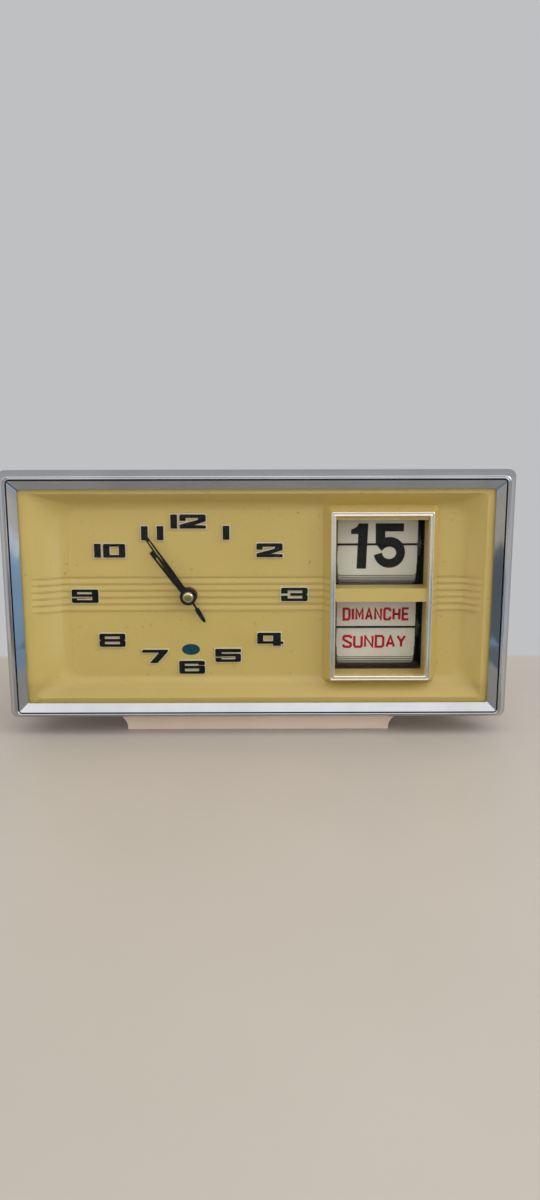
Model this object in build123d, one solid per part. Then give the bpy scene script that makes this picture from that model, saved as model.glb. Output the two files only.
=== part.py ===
from build123d import *
from math import asin, atan2, cos, degrees, hypot, pi, radians, sin
import os

# A wind-up alarm clock in a wide, low case, with a flip date and day calendar beside the dial.
# Millimetres. X runs right along the dial, Y from the dial to the back, Z up.
# The origin is the middle of the plinth's flat base.

os.makedirs("parts", exist_ok=True)
nodes = {}
standing = (Align.CENTER, Align.CENTER, Align.MIN)

# Dial opening and the bezel round it
opening_width = 202.0
opening_height = 93.8
opening_corner = 1.0
bevel_width = 4.8
bevel_depth = 2.5
crest_land = 0.3
crest_corner = 3.5
band_side = 4.2
band_top = 3.0
bezel_corner = 6.0
bezel_front = -31.5
bezel_bulge = 6.5
bezel_skirt = 8.0
skirt_draft = 0.3
rebate_width = 2.0
rebate_gap = 0.3
rebate_corner = 1.5
crystal_thickness = 1.2
seat_gap = 0.1
bezel_width = opening_width + 2 * (bevel_width + band_side)
bezel_height = opening_height + 2 * (bevel_width + band_top)

# Case, back cover and plinth
case_inset = 3.0
case_corner = 6.0
case_wall = 2.2
case_back = 27.0
case_back_wall = 3.0
case_back_round = 9.0
bezel_grip = 4.0
back_margin = 14.0
back_opening_corner = 4.0
cover_lap = 4.0
cover_corner = 6.0
cover_thickness = 1.5
cover_gap = 0.2
cover_rim = 1.8
plinth_height = 7.0
plinth_depth = 42.0
plinth_foot_width = 117.4
plinth_cove = 6.4
plinth_lip = 0.6
plinth_screw_x = 45.0
screw_radius = 1.3
screw_head = 2.6
screw_head_height = 1.6
screw_boss = 3.4
screw_grip = 5.0
cover_screw_reach = 6.0
cover_screw_inset = 3.2
screw_sink = 0.8
screw_slot = 0.7
case_width = bezel_width - 2 * case_inset
case_height = bezel_height - 2 * case_inset
back_opening_width = case_width - 2 * back_margin
back_opening_height = case_height - 2 * back_margin

# Dial; heights on it are from its middle
rim_side = 3.1
rim_top = 2.0
rim_corner = 2.0
dial_wall = 1.2
floor_depth = 6.5
slope_left = 16.0
slope_right = 10.5
slope_top = 7.5
slope_bottom = 8.6
floor_corner = 8.0
rib_pitch = 3.0
rib_count = 6
rib_lift = 0.6
rib_width = 0.5
rib_height = 0.3
rib_start = 1.5
post_radius = 2.2
post_bore = 0.9
post_aside = 6.0
post_above = 3.4
post_below = 3.0
floor_left = slope_left - opening_width / 2
floor_right = opening_width / 2 - slope_right
floor_top = opening_height / 2 - slope_top
floor_bottom = slope_bottom - opening_height / 2

# Calendar window, its frame and its cards
card_width_share = 0.1757
card_height_share = 0.1471
card_thickness = 0.24
card_pitch = 0.32
card_corner = 1.5
card_setback = 7.3
card_gap = 0.3
date_cards = 31
day_cards = 28
root_circle = 4.5
barrel_radius = 0.18
split_gap = 0.3
window_margin_right = 27.6
window_margin_top = 12.3
window_space_left = 1.5
window_space_right = 2.4
day_sill = 4.4
window_wall = 1.2
tube_gap = 3.5
tube_top_relief = 2.0
divider_below_date = 3.4
divider_above_day = 0.8
divider_height = 5.8
frame_bar = 2.4
frame_thickness = 1.2
boss_margin = 3.0
boss_height = 5.2
drum_radius = 5.5
drum_core = 3.2
disc_thickness = 1.2
spindle_radius = 1.2
spindle_clear = 0.2
index_radius = 7.0
index_depth = 0.9
index_thickness = 1.0
side_knob_radius = 8.0
side_knob_length = 2.6
side_knob_gap = 0.4
bracket_sheet = 1.0
bracket_gap = 1.6
bracket_setback = 1.0
bracket_depth = 10.5
bracket_below = 0.8
bracket_above = 6.7
bracket_tab = 3.5
card_width = round(card_width_share * opening_width, 1)
card_height = round(card_height_share * opening_height, 1)
window_right = opening_width / 2 - window_margin_right
card_left = window_right - window_space_right - card_width
window_left = card_left - window_space_left
window_top = opening_height / 2 - window_margin_top
date_line = window_top - card_height
divider_top = date_line - card_height - divider_below_date
divider_bottom = divider_top - divider_height
day_line = divider_bottom - divider_above_day - card_height
window_bottom = day_line - card_height - day_sill

# Hands, measured from their common centre
hand_share = 0.3515
minute_length = 32.3
minute_width = 2.7
minute_tip = 0.9
minute_angle = 123.9
hour_length = 25.2
hour_width = 3.0
hour_tip = 2.2
hour_angle = 128.2
alarm_length = 13.7
alarm_angle = -59.3
hand_sheet = 0.4
hand_spacing = 1.4
minute_setback = 1.4
hand_boss = 3.6
arbor_cap = 2.25
cap_height = 0.9
hand_inset = round(hand_share * opening_width, 1)
hand_x = hand_inset - opening_width / 2

# Movement
plate_width = 92.0
plate_height = 66.0
plate_left = -49.0
plate_bottom = -27.0
plate_thickness = 1.2
front_plate = -13.0
back_plate = 13.0
plate_corner = 4.0
pillar_radius = 2.2
pillar_inset = 4.5
pillar_thread = 1.4
movement_post_inset = 7.0
pillar_nut = 2.8
nut_thickness = 1.8
thread_end = 0.6
panel_screw_head = 2.0
panel_screw_bite = 4.0
panel_screw_hole = 1.1
motion_stud = 0.8
running = 0.05
end_shake = 0.2
pivot_radius = 0.5
thin_arbor = 0.7
centre_arbor_radius = 1.2
winding_radius = 2.0
barrel_module = 0.75
barrel_teeth = 48
barrel_pinion = 8
barrel_drum = 14.5
barrel_depth = 12.6
centre_module = 0.667
centre_teeth = 48
third_module = 0.6
third_teeth = 45
fourth_module = 0.53
fourth_teeth = 48
train_pinion = 6
escape_teeth = 16
escape_radius = 4.9
motion_module = 0.5
motion_teeth = 36
cannon_leaves = 12
hour_module = 0.48
hour_teeth = 40
motion_leaves = 10
alarm_module = 0.77
alarm_teeth = 36
alarm_leaves = 12
star_teeth = 12
star_radius = 5.0
pin_radius = 0.25
pin_clear = 0.15
lever_reach = 6.8
lever_swing = 7.0
balance_swing = 135.0
regulator_bore = 2.2
regulator_arm = 9.0
regulator_bearing = -30.0
regulator_swing = 25.0
hammer_reach = 7.6
balance_reach = 11.6
balance_radius = 10.0
hammer_swing = 6.0
hammer_bearing = 100.0
hammer_arbor = 0.8
hammer_head = 2.0
head_gap = 0.3
bell_inset = 5.0
bell_rise = 14.0
bell_radius = 15.0
bell_depth = 7.5
bell_sheet = 1.0
bell_bevel = 4.0
sound_slot_pitch = 3.6
sound_slot_height = 1.6
ratchet_teeth = 24
ratchet_radius = 6.5
ratchet_depth = 0.9
ratchet_rake = 0.35
click_reach = 9.5
click_lag = 34.0
click_clear = 0.2
click_stud = 1.0
click_hub = 2.0
key_hub = 3.2
key_ear = 5.2
key_spread = 6.4
key_sheet = 1.4
key_web = 5.0
key_socket = 4.0
key_end = 43.0
set_knob_radius = 7.0
set_knob_length = 7.0
knob_start = 30.0
cover_hole_gap = 1.0
stop_aside = 34.0
stop_rise = 20.0
stop_radius = 3.0
stop_travel = 3.0
stop_slack = 0.5
stop_flange = 1.2
stop_length = 5.0

# Places that follow from the sizes above
dial_z = plinth_height + bezel_height / 2
opening_y = bezel_front + bevel_depth
crystal_front = opening_y + seat_gap
crystal_back = crystal_front + crystal_thickness
rim_y = crystal_back + seat_gap
floor_y = rim_y + floor_depth
floor_back = floor_y + dial_wall
bezel_back = bezel_front + bezel_bulge + bezel_skirt
case_front = bezel_back - bezel_grip
card_y = floor_back + card_setback
spindle_y = card_y + root_circle
case_bottom = dial_z - case_height / 2
inner_back = case_back - case_back_wall
bell_crown = inner_back - 1.5
plate_inner_front = front_plate + plate_thickness


def face_plane(y):
    # Seen from the front: first coordinate to the right, second one up.
    return Plane(origin=(0, y, 0), x_dir=(1, 0, 0), z_dir=(0, -1, 0))


def slab(profile, front, back):
    return extrude(face_plane(back) * profile, amount=back - front)


def disc(place, radius, front, back):
    return slab(Pos(place[0], place[1]) * Circle(radius), front, back)


def plate(left, right, bottom, top, front, back):
    middle = Pos((left + right) / 2, (bottom + top) / 2)
    return slab(middle * Rectangle(right - left, top - bottom), front, back)


def rounded(width, height, corner, x=0.0, z=dial_z):
    return Pos(x, z) * RectangleRounded(width, height, corner)


def rod_x(y, z, radius, left, right):
    # A round rod along X.
    return extrude(Plane(origin=(left, y, z), z_dir=(1, 0, 0)) * Circle(radius), amount=right - left)


def beside(place, distance, angle):
    return (place[0] + distance * cos(radians(angle)), place[1] + distance * sin(radians(angle)))


def bearing(start, end):
    return degrees(atan2(end[1] - start[1], end[0] - start[0]))


# Bezel: a bright frame with a curved outer band, a narrow crest and a bevel down to the dial
def bezel_section(turn):
    grow = sin(radians(turn))
    width = opening_width + 2 * (bevel_width + crest_land)
    height = opening_height + 2 * (bevel_width + crest_land)
    corner = crest_corner + (bezel_corner - crest_corner) * grow
    y = bezel_front + bezel_bulge * (1 - cos(radians(turn)))
    outline = rounded(width + (bezel_width - width) * grow, height + (bezel_height - height) * grow, corner)
    return face_plane(y) * outline


def make_bezel():
    band = loft([bezel_section(turn) for turn in (0, 30, 60, 90)])
    widest = bezel_front + bezel_bulge
    skirt = loft([
        face_plane(widest) * rounded(bezel_width, bezel_height, bezel_corner),
        face_plane(bezel_back) * rounded(
            bezel_width - 2 * skirt_draft, bezel_height - 2 * skirt_draft, bezel_corner),
    ])
    crest_width = opening_width + 2 * bevel_width
    crest_height = opening_height + 2 * bevel_width
    bevel = loft([
        face_plane(opening_y) * rounded(opening_width, opening_height, opening_corner),
        face_plane(bezel_front) * rounded(crest_width, crest_height, crest_corner),
    ], ruled=True)
    hole = slab(rounded(opening_width, opening_height, opening_corner), opening_y, crystal_front)
    rebate = slab(rebate_outline(rebate_gap), crystal_front, case_front)
    seat = rounded(case_width + 2 * seat_gap, case_height + 2 * seat_gap, case_corner)
    seat = slab(seat, case_front, bezel_back)
    return band + skirt - bevel - hole - rebate - seat


def rebate_outline(grow):
    width = opening_width + 2 * rebate_width + 2 * grow
    height = opening_height + 2 * rebate_width + 2 * grow
    return rounded(width, height, rebate_corner)


nodes["bezel"] = make_bezel()
nodes["crystal"] = slab(rebate_outline(0), crystal_front, crystal_back)


# Case: a moulded tub, open behind the dial and closed at the back by a cover
cover_width = back_opening_width + 2 * cover_lap
cover_height = back_opening_height + 2 * cover_lap
screw_x = cover_width / 2 - cover_screw_inset
screw_rise = cover_height / 2 - cover_screw_inset
cover_screw_places = [(sx * screw_x, dial_z + sz * screw_rise) for sx in (-1, 1) for sz in (-1, 1)]
knob_axis_heights = (dial_z + date_line, dial_z + day_line)
cover_y = case_back - cover_thickness
plinth_screw_top = case_bottom + case_wall + screw_grip


def make_case_shell():
    outer = slab(rounded(case_width, case_height, case_corner), case_front, case_back)
    back_edges = outer.faces().sort_by(Axis.Y)[-1].edges()
    outer = fillet(back_edges, case_back_round)
    inner_width = case_width - 2 * case_wall
    inner_height = case_height - 2 * case_wall
    inner = slab(rounded(inner_width, inner_height, case_corner - case_wall), case_front, inner_back)
    inner_edges = inner.faces().sort_by(Axis.Y)[-1].edges()
    inner = fillet(inner_edges, case_back_round - case_wall)
    shell = outer - inner
    for place in cover_screw_places:
        shell += disc(place, screw_boss, cover_y - cover_screw_reach, cover_y)
    for sx in (-1, 1):
        foot = case_bottom + case_wall / 2
        boss = Cylinder(screw_boss, plinth_screw_top - foot, align=standing)
        boss = Pos(sx * plinth_screw_x, 0, foot) * boss
        bore = Cylinder(screw_radius + seat_gap / 2, screw_grip, align=standing)
        bore = Pos(sx * plinth_screw_x, 0, case_bottom) * bore
        shell = shell + boss - bore
    opening = rounded(back_opening_width, back_opening_height, back_opening_corner)
    shell -= slab(opening, inner_back - cover_screw_reach, case_back)
    shell -= slab(rounded(cover_width, cover_height, cover_corner), cover_y, case_back)
    for place in cover_screw_places:
        shell -= disc(place, screw_radius + seat_gap / 2, cover_y - cover_screw_reach, cover_y)
    for z in knob_axis_heights:
        right = case_width / 2
        shell -= rod_x(spindle_y, z, spindle_radius + spindle_clear, right - 2 * case_wall, right)
    return shell


nodes["case_shell"] = make_case_shell()


# Plinth: a low foot with coved ends, stepped up behind the bezel to meet the case
def make_plinth():
    half_top = plinth_foot_width / 2 + plinth_cove
    front = -plinth_depth / 2
    block = plate(-half_top, half_top, 0, case_bottom - seat_gap, front, plinth_depth / 2)
    for sx in (-1, 1):
        block -= disc((sx * half_top, plinth_lip), plinth_cove, front, plinth_depth / 2)
        corner = sorted((sx * plinth_foot_width / 2, sx * (half_top + 1)))
        block -= plate(corner[0], corner[1], -1, plinth_lip, front, plinth_depth / 2)
    block -= plate(-half_top, half_top, plinth_height - seat_gap, case_bottom, front, bezel_back + seat_gap)
    for sx in (-1, 1):
        block -= Pos(sx * plinth_screw_x, 0, 0) * Cylinder(screw_radius + seat_gap, 2 * case_bottom)
        sink = Cylinder(screw_head + seat_gap, screw_head_height + screw_sink, align=standing)
        block -= Pos(sx * plinth_screw_x, 0, 0) * sink
    return block


nodes["plinth"] = make_plinth()


def foot_screw(length):
    # A flat-headed screw that points up, with Z = 0 under its head.
    head = Cylinder(screw_head, screw_head_height, align=(Align.CENTER, Align.CENTER, Align.MAX))
    slot = Pos(0, 0, -screw_head_height) * Box(2 * screw_head, screw_slot, screw_head_height)
    shank = Cylinder(screw_radius, length, align=standing)
    return head - slot + shank


plinth_screw = foot_screw(plinth_screw_top - 2.8 - screw_head_height - screw_sink)
seat_height = screw_head_height + screw_sink
nodes["plinth_screws"] = [Pos(sx * plinth_screw_x, 0, seat_height) * plinth_screw for sx in (-1, 1)]


# Dial: a moulded tray with sloping sides, fine ribs across the middle and a raised calendar boss
def tray(grow, top_y, bottom_y):
    top_width = opening_width + 2 * (grow - rim_side)
    top = rounded(top_width, opening_height + 2 * (grow - rim_top), rim_corner)
    width = floor_right - floor_left + 2 * grow
    height = floor_top - floor_bottom + 2 * grow
    middle = dial_z + (floor_top + floor_bottom) / 2
    floor = rounded(width, height, floor_corner, (floor_left + floor_right) / 2, middle)
    return loft([face_plane(bottom_y) * floor, face_plane(top_y) * top], ruled=True)


window_width = window_right - window_left
window_height = window_top - window_bottom
window_x = (window_left + window_right) / 2
window_z = dial_z + (window_top + window_bottom) / 2
frame_front = floor_y - boss_height - frame_thickness
tube_back = card_y - tube_gap
tube_top_back = tube_back - tube_top_relief
calendar_posts = [(x, dial_z + z) for x in (window_left - post_aside, window_right + post_aside)
                  for z in (window_bottom - post_below, window_top + post_above)]
bracket_front = card_y + bracket_setback


def window_outline(grow, corner):
    return rounded(window_width + 2 * grow, window_height + 2 * grow, corner, window_x, window_z)


def make_dial_panel():
    panel = slab(rebate_outline(0), rim_y, rim_y + dial_wall)
    panel += tray(dial_wall, rim_y + dial_wall / 2, floor_back)
    basin = tray(0, rim_y, floor_y)
    panel -= basin
    ribs = basin - tray(-rib_height, rim_y - rib_height, floor_y - rib_height)
    rows = [dial_z + (i - (rib_count - 1) / 2) * rib_pitch + rib_lift for i in range(rib_count)]
    half = opening_width / 2
    thin = rib_width / 2
    bars = [plate(-half, half, z - thin, z + thin, rim_y + rib_start, floor_y) for z in rows]
    panel += [ribs & bar for bar in bars]
    boss = loft([face_plane(floor_y) * window_outline(frame_bar + boss_margin, 3.0),
                 face_plane(floor_y - boss_height) * window_outline(frame_bar, 1.0)], ruled=True)
    tube = slab(window_outline(window_wall, 0.5), floor_y, tube_back)
    tube -= plate(window_left - 5, window_right + 5, dial_z + window_top - 0.1, dial_z + window_top + 5,
                  tube_top_back, tube_back)
    panel = panel + boss + tube
    panel -= slab(window_outline(0, 0.4), floor_y - boss_height, tube_back)
    panel += plate(window_left - 0.2, window_right + 0.2, dial_z + divider_bottom, dial_z + divider_top,
                   floor_y - boss_height + 0.2, tube_back)
    for place in calendar_posts:
        panel += disc(place, post_radius, floor_back - dial_wall / 2, bracket_front)
        panel -= disc(place, post_bore, floor_back, bracket_front)
    for place in movement_posts:
        panel += disc(place, post_radius, floor_back - dial_wall / 2, front_plate)
        panel -= disc(place, post_bore, floor_back, front_plate)
    panel -= disc(centre, hand_tube(3) + 4 * running, floor_y - rib_height, floor_back)
    return panel


def hand_tube(layer):
    # Outer radius of the nested hand pipes, from the arbor outwards.
    return centre_arbor_radius + 0.65 + 0.55 * layer


centre = (hand_x, dial_z)
plate_middle = (hand_x + plate_left + plate_width / 2, dial_z + plate_bottom + plate_height / 2)


def round_plate(aside, rise):
    # Four places, aside and rise from the middle of the plates.
    return [(plate_middle[0] + sx * aside, plate_middle[1] + sz * rise) for sx in (-1, 1) for sz in (-1, 1)]


pillar_aside = plate_width / 2 - pillar_inset
pillar_rise = plate_height / 2 - pillar_inset
plate_corners = round_plate(pillar_aside, pillar_rise)
movement_posts = round_plate(pillar_aside - movement_post_inset, pillar_rise)

nodes["dial_panel"] = make_dial_panel()
calendar_frame = slab(window_outline(frame_bar, 1.0), frame_front, frame_front + frame_thickness)
calendar_frame -= slab(window_outline(0.2, 0.4), frame_front, frame_front + frame_thickness)
nodes["calendar_frame"] = chamfer(calendar_frame.faces().sort_by(Axis.Y)[0].outer_wire().edges(), 0.5)


# Toothed wheels. Wheel teeth are slender points and pinion leaves are short stubs, so a pair runs free.
def gear(place, teeth, module, phase, front, back, leaves=False):
    pitch_radius = module * teeth / 2
    step = 2 * pi / teeth
    root_share, tip_share, tip_add, root_drop = (0.36, 0.20, 0.5, 1.35) if leaves else (0.74, 0.10, 1.0, 1.3)
    root = pitch_radius - root_drop * module
    tip = pitch_radius + tip_add * module
    points = []
    for k in range(teeth):
        middle = radians(phase) + k * step
        for radius, share in ((root, -root_share), (tip, -tip_share), (tip, tip_share), (root, root_share)):
            angle = middle + share * step / 2
            points.append((radius * cos(angle), radius * sin(angle)))
    return slab(Pos(place[0], place[1]) * Polygon(*points, align=None), front, back)


def mesh_phase(place, teeth, phase, mate_place, mate_teeth):
    # The phase of a mate whose gap faces the tooth of the first wheel.
    angle = bearing(place, mate_place)
    share = (angle - phase) / (360 / teeth) % 1
    return angle + 180 - (360 / mate_teeth) * (0.5 - share)


def windows(place, outer, inner, bar, front, back):
    # The four openings between a wheel's spokes.
    profile = Circle(outer) - Circle(inner) - Rectangle(bar, 2 * outer) - Rectangle(2 * outer, bar)
    return slab(Pos(place[0], place[1]) * profile, front, back)


def spindle(place, radius, front, back, front_hole=plate_thickness, back_hole=plate_thickness):
    # An arbor between the plates with a thinner pivot at each end.
    body = disc(place, radius, front + end_shake, back - end_shake)
    return body + disc(place, pivot_radius, front - front_hole, back + back_hole)


time_barrel_place = beside(centre, barrel_module * (barrel_teeth + barrel_pinion) / 2, -25.4)
alarm_barrel_place = beside(centre, barrel_module * (barrel_teeth + barrel_pinion) / 2, 205.4)
third_place = beside(centre, centre_module * (centre_teeth + train_pinion) / 2, 70.0)
fourth_place = beside(third_place, third_module * (third_teeth + train_pinion) / 2, 185.0)
escape_place = beside(fourth_place, fourth_module * (fourth_teeth + train_pinion) / 2, 120.0)
escape_bearing = 20.0
lever_place = beside(escape_place, lever_reach, escape_bearing)
balance_place = beside(lever_place, balance_reach, escape_bearing)
motion_place = beside(centre, motion_module * (motion_teeth + cannon_leaves) / 2, 60.0)
alarm_set_place = beside(centre, alarm_module * (alarm_teeth + alarm_leaves) / 2, -90.0)
star_place = beside(alarm_barrel_place, barrel_module * (barrel_teeth + barrel_pinion) / 2, 196.7)
hammer_place = beside(star_place, hammer_reach, hammer_bearing)
bell_place = (bell_inset - back_opening_width / 2, dial_z + bell_rise)

# Levels of the wheels, front and back faces
barrel_front = plate_inner_front + 1.0
teeth_sheet = 1.2
barrel_teeth_front = (barrel_front, barrel_front + teeth_sheet)
barrel_back = barrel_front + barrel_depth + teeth_sheet
alarm_teeth_level = (barrel_back - teeth_sheet, barrel_back)
centre_level = (4.5, 5.4)
fourth_level = (6.3, 7.0)
third_level = (8.0, 8.8)
roller_level = (9.0, 9.4)
lever_level = (9.8, 10.3)
escape_level = (10.8, 11.3)
balance_level = (-2.0, 0.0)
hairspring_level = (1.4, 2.0)
star_level = (-3.0, -2.2)
anchor_level = (-4.4, -3.6)
ratchet_level = (10.8, 12.0)
motion_level = (-14.6, -13.9)
hour_level = (-16.5, -15.8)
alarm_level = (-18.6, -17.9)
leaf_reach = 0.5


# Plates, pillars and what is fixed to them
def plate_holes():
    running_holes = {
        "third": (third_place, pivot_radius),
        "fourth": (fourth_place, pivot_radius),
        "escape": (escape_place, pivot_radius),
        "lever": (lever_place, pivot_radius),
        "balance": (balance_place, pivot_radius),
        "star": (star_place, pivot_radius),
    }
    return [(place, radius + running) for place, radius in running_holes.values()]


click_places = {
    "time": beside(time_barrel_place, click_reach, -40.0),
    "alarm": beside(alarm_barrel_place, click_reach, 220.0),
}
plate_profile = Pos(*plate_middle) * RectangleRounded(plate_width, plate_height, plate_corner)


def make_front_plate():
    sheet = slab(plate_profile, front_plate, plate_inner_front)
    holes = plate_holes() + [(hammer_place, pivot_radius + running), (centre, centre_arbor_radius + running)]
    for place in (time_barrel_place, alarm_barrel_place, alarm_set_place):
        holes.append((place, centre_arbor_radius + running))
    holes += [(place, panel_screw_hole) for place in movement_posts]
    for place, radius in holes:
        sheet -= disc(place, radius, front_plate, plate_inner_front)
    stud_front = hour_level[0] - 1.4
    sheet += disc(motion_place, motion_stud, stud_front, plate_inner_front)
    return sheet


def make_back_plate():
    back = back_plate + plate_thickness
    sheet = slab(plate_profile, back_plate, back)
    sheet += disc(balance_place, regulator_bore - running, back, back + plate_thickness)
    holes = plate_holes() + [(hammer_place, hammer_arbor + running), (centre, centre_arbor_radius + running)]
    holes += [(time_barrel_place, winding_radius + running), (alarm_barrel_place, winding_radius + running)]
    holes += [(alarm_set_place, centre_arbor_radius + running)]
    for place, radius in holes:
        sheet -= disc(place, radius, back_plate, back + plate_thickness)
    for place in click_places.values():
        sheet += disc(place, click_stud, ratchet_level[0] - 0.6, back_plate)
    for place in plate_corners:
        sheet -= disc(place, pillar_thread + running, back_plate, back)
    return sheet


nodes["front_plate"] = make_front_plate()
nodes["back_plate"] = make_back_plate()


def make_pillar(place):
    post = disc(place, pillar_radius, plate_inner_front, back_plate)
    tip = back_plate + plate_thickness + nut_thickness + thread_end
    return post + disc(place, pillar_thread, back_plate, tip)


def make_nut(place):
    start = back_plate + plate_thickness
    end = start + nut_thickness
    hexagon = Pos(*place) * RegularPolygon(pillar_nut, 6)
    return slab(hexagon, start, end) - disc(place, pillar_thread, start, end)


def make_panel_screw(place, seat, length):
    # The head lies behind the sheet at seat and the shank runs forward into a post.
    x, z = place
    head = disc(place, panel_screw_head, seat, seat + 0.8)
    head -= plate(x - panel_screw_head, x + panel_screw_head, z - 0.3, z + 0.3, seat + 0.4, seat + 0.8)
    return head + disc(place, post_bore, seat - length, seat)


nodes["pillars"] = [make_pillar(place) for place in plate_corners]
nodes["pillar_nuts"] = [make_nut(place) for place in plate_corners]
nodes["movement_screws"] = [make_panel_screw(place, plate_inner_front, plate_thickness + panel_screw_bite)
                            for place in movement_posts]


# Hands and motion work
def hand_blade(place, angle, outline, layer, front):
    blade = make_face(Polyline(*outline, close=True))
    boss = Circle(hand_boss)
    profile = Pos(*place) * Rot(0, 0, angle - 90) * (blade + boss - Circle(hand_tube(layer)))
    return slab(profile, front, front + hand_sheet)


def pointed_hand(place, angle, length, width, tip, slot, layer, front):
    # A blade that narrows from the boss, with a long slot from slot[0] to slot[1] of its length.
    waist = length * 0.45
    outline = [(-width / 2, 0), (width / 2, 0), (width / 2, waist), (tip / 2, length), (-tip / 2, length),
               (-width / 2, waist)]
    sheet = hand_blade(place, angle, outline, layer, front)
    start, end = slot[0] * length, slot[1] * length
    wide, narrow = slot[2], slot[3]
    hole = Polygon((-wide / 2, start), (wide / 2, start), (narrow / 2, end), (-narrow / 2, end), align=None)
    return sheet - slab(Pos(*place) * Rot(0, 0, angle - 90) * hole, front, front + hand_sheet)


minute_y = crystal_back + minute_setback
hour_y = minute_y + hand_spacing
alarm_y = hour_y + hand_spacing
# Each slot gives its start and end as shares of the length, then its width at both ends.
nodes["minute_hand"] = pointed_hand(
    centre, minute_angle, minute_length, minute_width, minute_tip, (0.36, 0.90, 0.8, 0.3), 1, minute_y)
nodes["hour_hand"] = pointed_hand(
    centre, hour_angle, hour_length, hour_width, hour_tip, (0.46, 0.86, 1.0, 0.9), 2, hour_y)
alarm_outline = [(-0.3, 0), (0.3, 0), (0.3, alarm_length * 0.48), (0.8, alarm_length * 0.52),
                 (0.6, alarm_length * 0.88), (0, alarm_length), (-0.6, alarm_length * 0.88),
                 (-0.8, alarm_length * 0.52), (-0.3, alarm_length * 0.48)]
nodes["alarm_hand"] = hand_blade(centre, alarm_angle, alarm_outline, 3, alarm_y)

cannon_phase = 0.0
motion_phase = mesh_phase(centre, cannon_leaves, cannon_phase, motion_place, motion_teeth)
hour_phase = mesh_phase(motion_place, motion_leaves, 0, centre, hour_teeth)
alarm_pinion_phase = mesh_phase(centre, alarm_teeth, 0, alarm_set_place, alarm_leaves)
rear_end = knob_start + set_knob_length


def make_centre_arbor():
    rod = disc(centre, centre_arbor_radius, minute_y, rear_end - 1.0)
    dome = disc(centre, arbor_cap, minute_y - cap_height, minute_y)
    dome = fillet(dome.faces().sort_by(Axis.Y)[0].edges(), cap_height * 0.9)
    return rod + dome


nodes["centre_arbor"] = make_centre_arbor()
cannon_back = motion_level[1] + 0.2
cannon = disc(centre, hand_tube(1), minute_y, cannon_back)
cannon_front = motion_level[0] - leaf_reach
cannon += gear(centre, cannon_leaves, motion_module, cannon_phase, cannon_front, cannon_back, True)
nodes["cannon_pinion"] = cannon - disc(centre, centre_arbor_radius, minute_y, cannon_back)
motion = gear(motion_place, motion_teeth, motion_module, motion_phase, *motion_level)
motion += gear(motion_place, motion_leaves, hour_module, 0, hour_level[0] - leaf_reach, motion_level[0], True)
nodes["motion_wheel"] = motion - disc(
    motion_place, motion_stud + running, hour_level[0] - leaf_reach, motion_level[1])
hour = gear(centre, hour_teeth, hour_module, hour_phase, *hour_level)
hour += disc(centre, hand_tube(2), hour_y, hour_level[1])
nodes["hour_wheel"] = hour - disc(centre, hand_tube(1) + running, hour_y, hour_level[1])
alarm = gear(centre, alarm_teeth, alarm_module, 0, *alarm_level)
alarm += disc(centre, hand_tube(3), alarm_y, alarm_level[1])
nodes["alarm_wheel"] = alarm - disc(centre, hand_tube(2) + running, alarm_y, alarm_level[1])


def knob(place, radius, front, back):
    # A round knob with a serrated edge, its flanks parallel to its axis.
    count = 20
    points = []
    for k in range(count):
        points.append(beside((0, 0), radius, 360 * k / count))
        points.append(beside((0, 0), radius * 0.9, 360 * (k + 0.5) / count))
    body = slab(Pos(*place) * Polygon(*points, align=None), front + 1.0, back)
    return body + disc(place, radius * 0.55, front, front + 1.0)


def bored_knob(place):
    body = knob(place, set_knob_radius, knob_start, rear_end)
    return body - disc(place, centre_arbor_radius, knob_start, rear_end - 1.0)


nodes["time_set_knob"] = bored_knob(centre)
nodes["alarm_set_knob"] = bored_knob(alarm_set_place)
alarm_arbor_front = alarm_level[0] - 0.4
alarm_arbor = disc(alarm_set_place, centre_arbor_radius, alarm_arbor_front, rear_end - 1.0)
alarm_arbor += gear(alarm_set_place, alarm_leaves, alarm_module, alarm_pinion_phase,
                    alarm_arbor_front, alarm_level[1] + 0.4, True)
nodes["alarm_set_arbor"] = alarm_arbor


# Going train
centre_pinion_phase = mesh_phase(time_barrel_place, barrel_teeth, 0, centre, barrel_pinion)
third_pinion_phase = mesh_phase(centre, centre_teeth, 0, third_place, train_pinion)
fourth_pinion_phase = mesh_phase(third_place, third_teeth, 0, fourth_place, train_pinion)
escape_pinion_phase = mesh_phase(fourth_place, fourth_teeth, 0, escape_place, train_pinion)


def toothed_wheel(place, teeth, module, phase, level, hub):
    rim = module * teeth / 2 - 2.8 * module
    wheel = gear(place, teeth, module, phase, *level)
    return wheel - windows(place, rim, hub, 1.6, *level)


def make_centre_wheel():
    front = plate_inner_front + end_shake
    back = back_plate - end_shake
    wheel = toothed_wheel(centre, centre_teeth, centre_module, 0, centre_level, 3.4)
    wheel += gear(centre, barrel_pinion, barrel_module, centre_pinion_phase,
                  barrel_teeth_front[0] - leaf_reach, barrel_teeth_front[1] + leaf_reach, True)
    wheel += disc(centre, centre_arbor_radius + 0.6, front, back)
    return wheel - disc(centre, centre_arbor_radius + running, front, back)


def make_train_arbor(place, teeth, module, level, pinion_module, pinion_phase, pinion_level, wheel_phase=0):
    wheel = toothed_wheel(place, teeth, module, wheel_phase, level, 2.4)
    wheel += gear(place, train_pinion, pinion_module, pinion_phase,
                  pinion_level[0] - leaf_reach, pinion_level[1] + leaf_reach, True)
    return wheel + spindle(place, thin_arbor, plate_inner_front, back_plate)


nodes["centre_wheel"] = make_centre_wheel()
nodes["third_wheel"] = make_train_arbor(third_place, third_teeth, third_module, third_level,
                                        centre_module, third_pinion_phase, centre_level)
nodes["fourth_wheel"] = make_train_arbor(fourth_place, fourth_teeth, fourth_module, fourth_level,
                                         third_module, fourth_pinion_phase, third_level)


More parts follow.
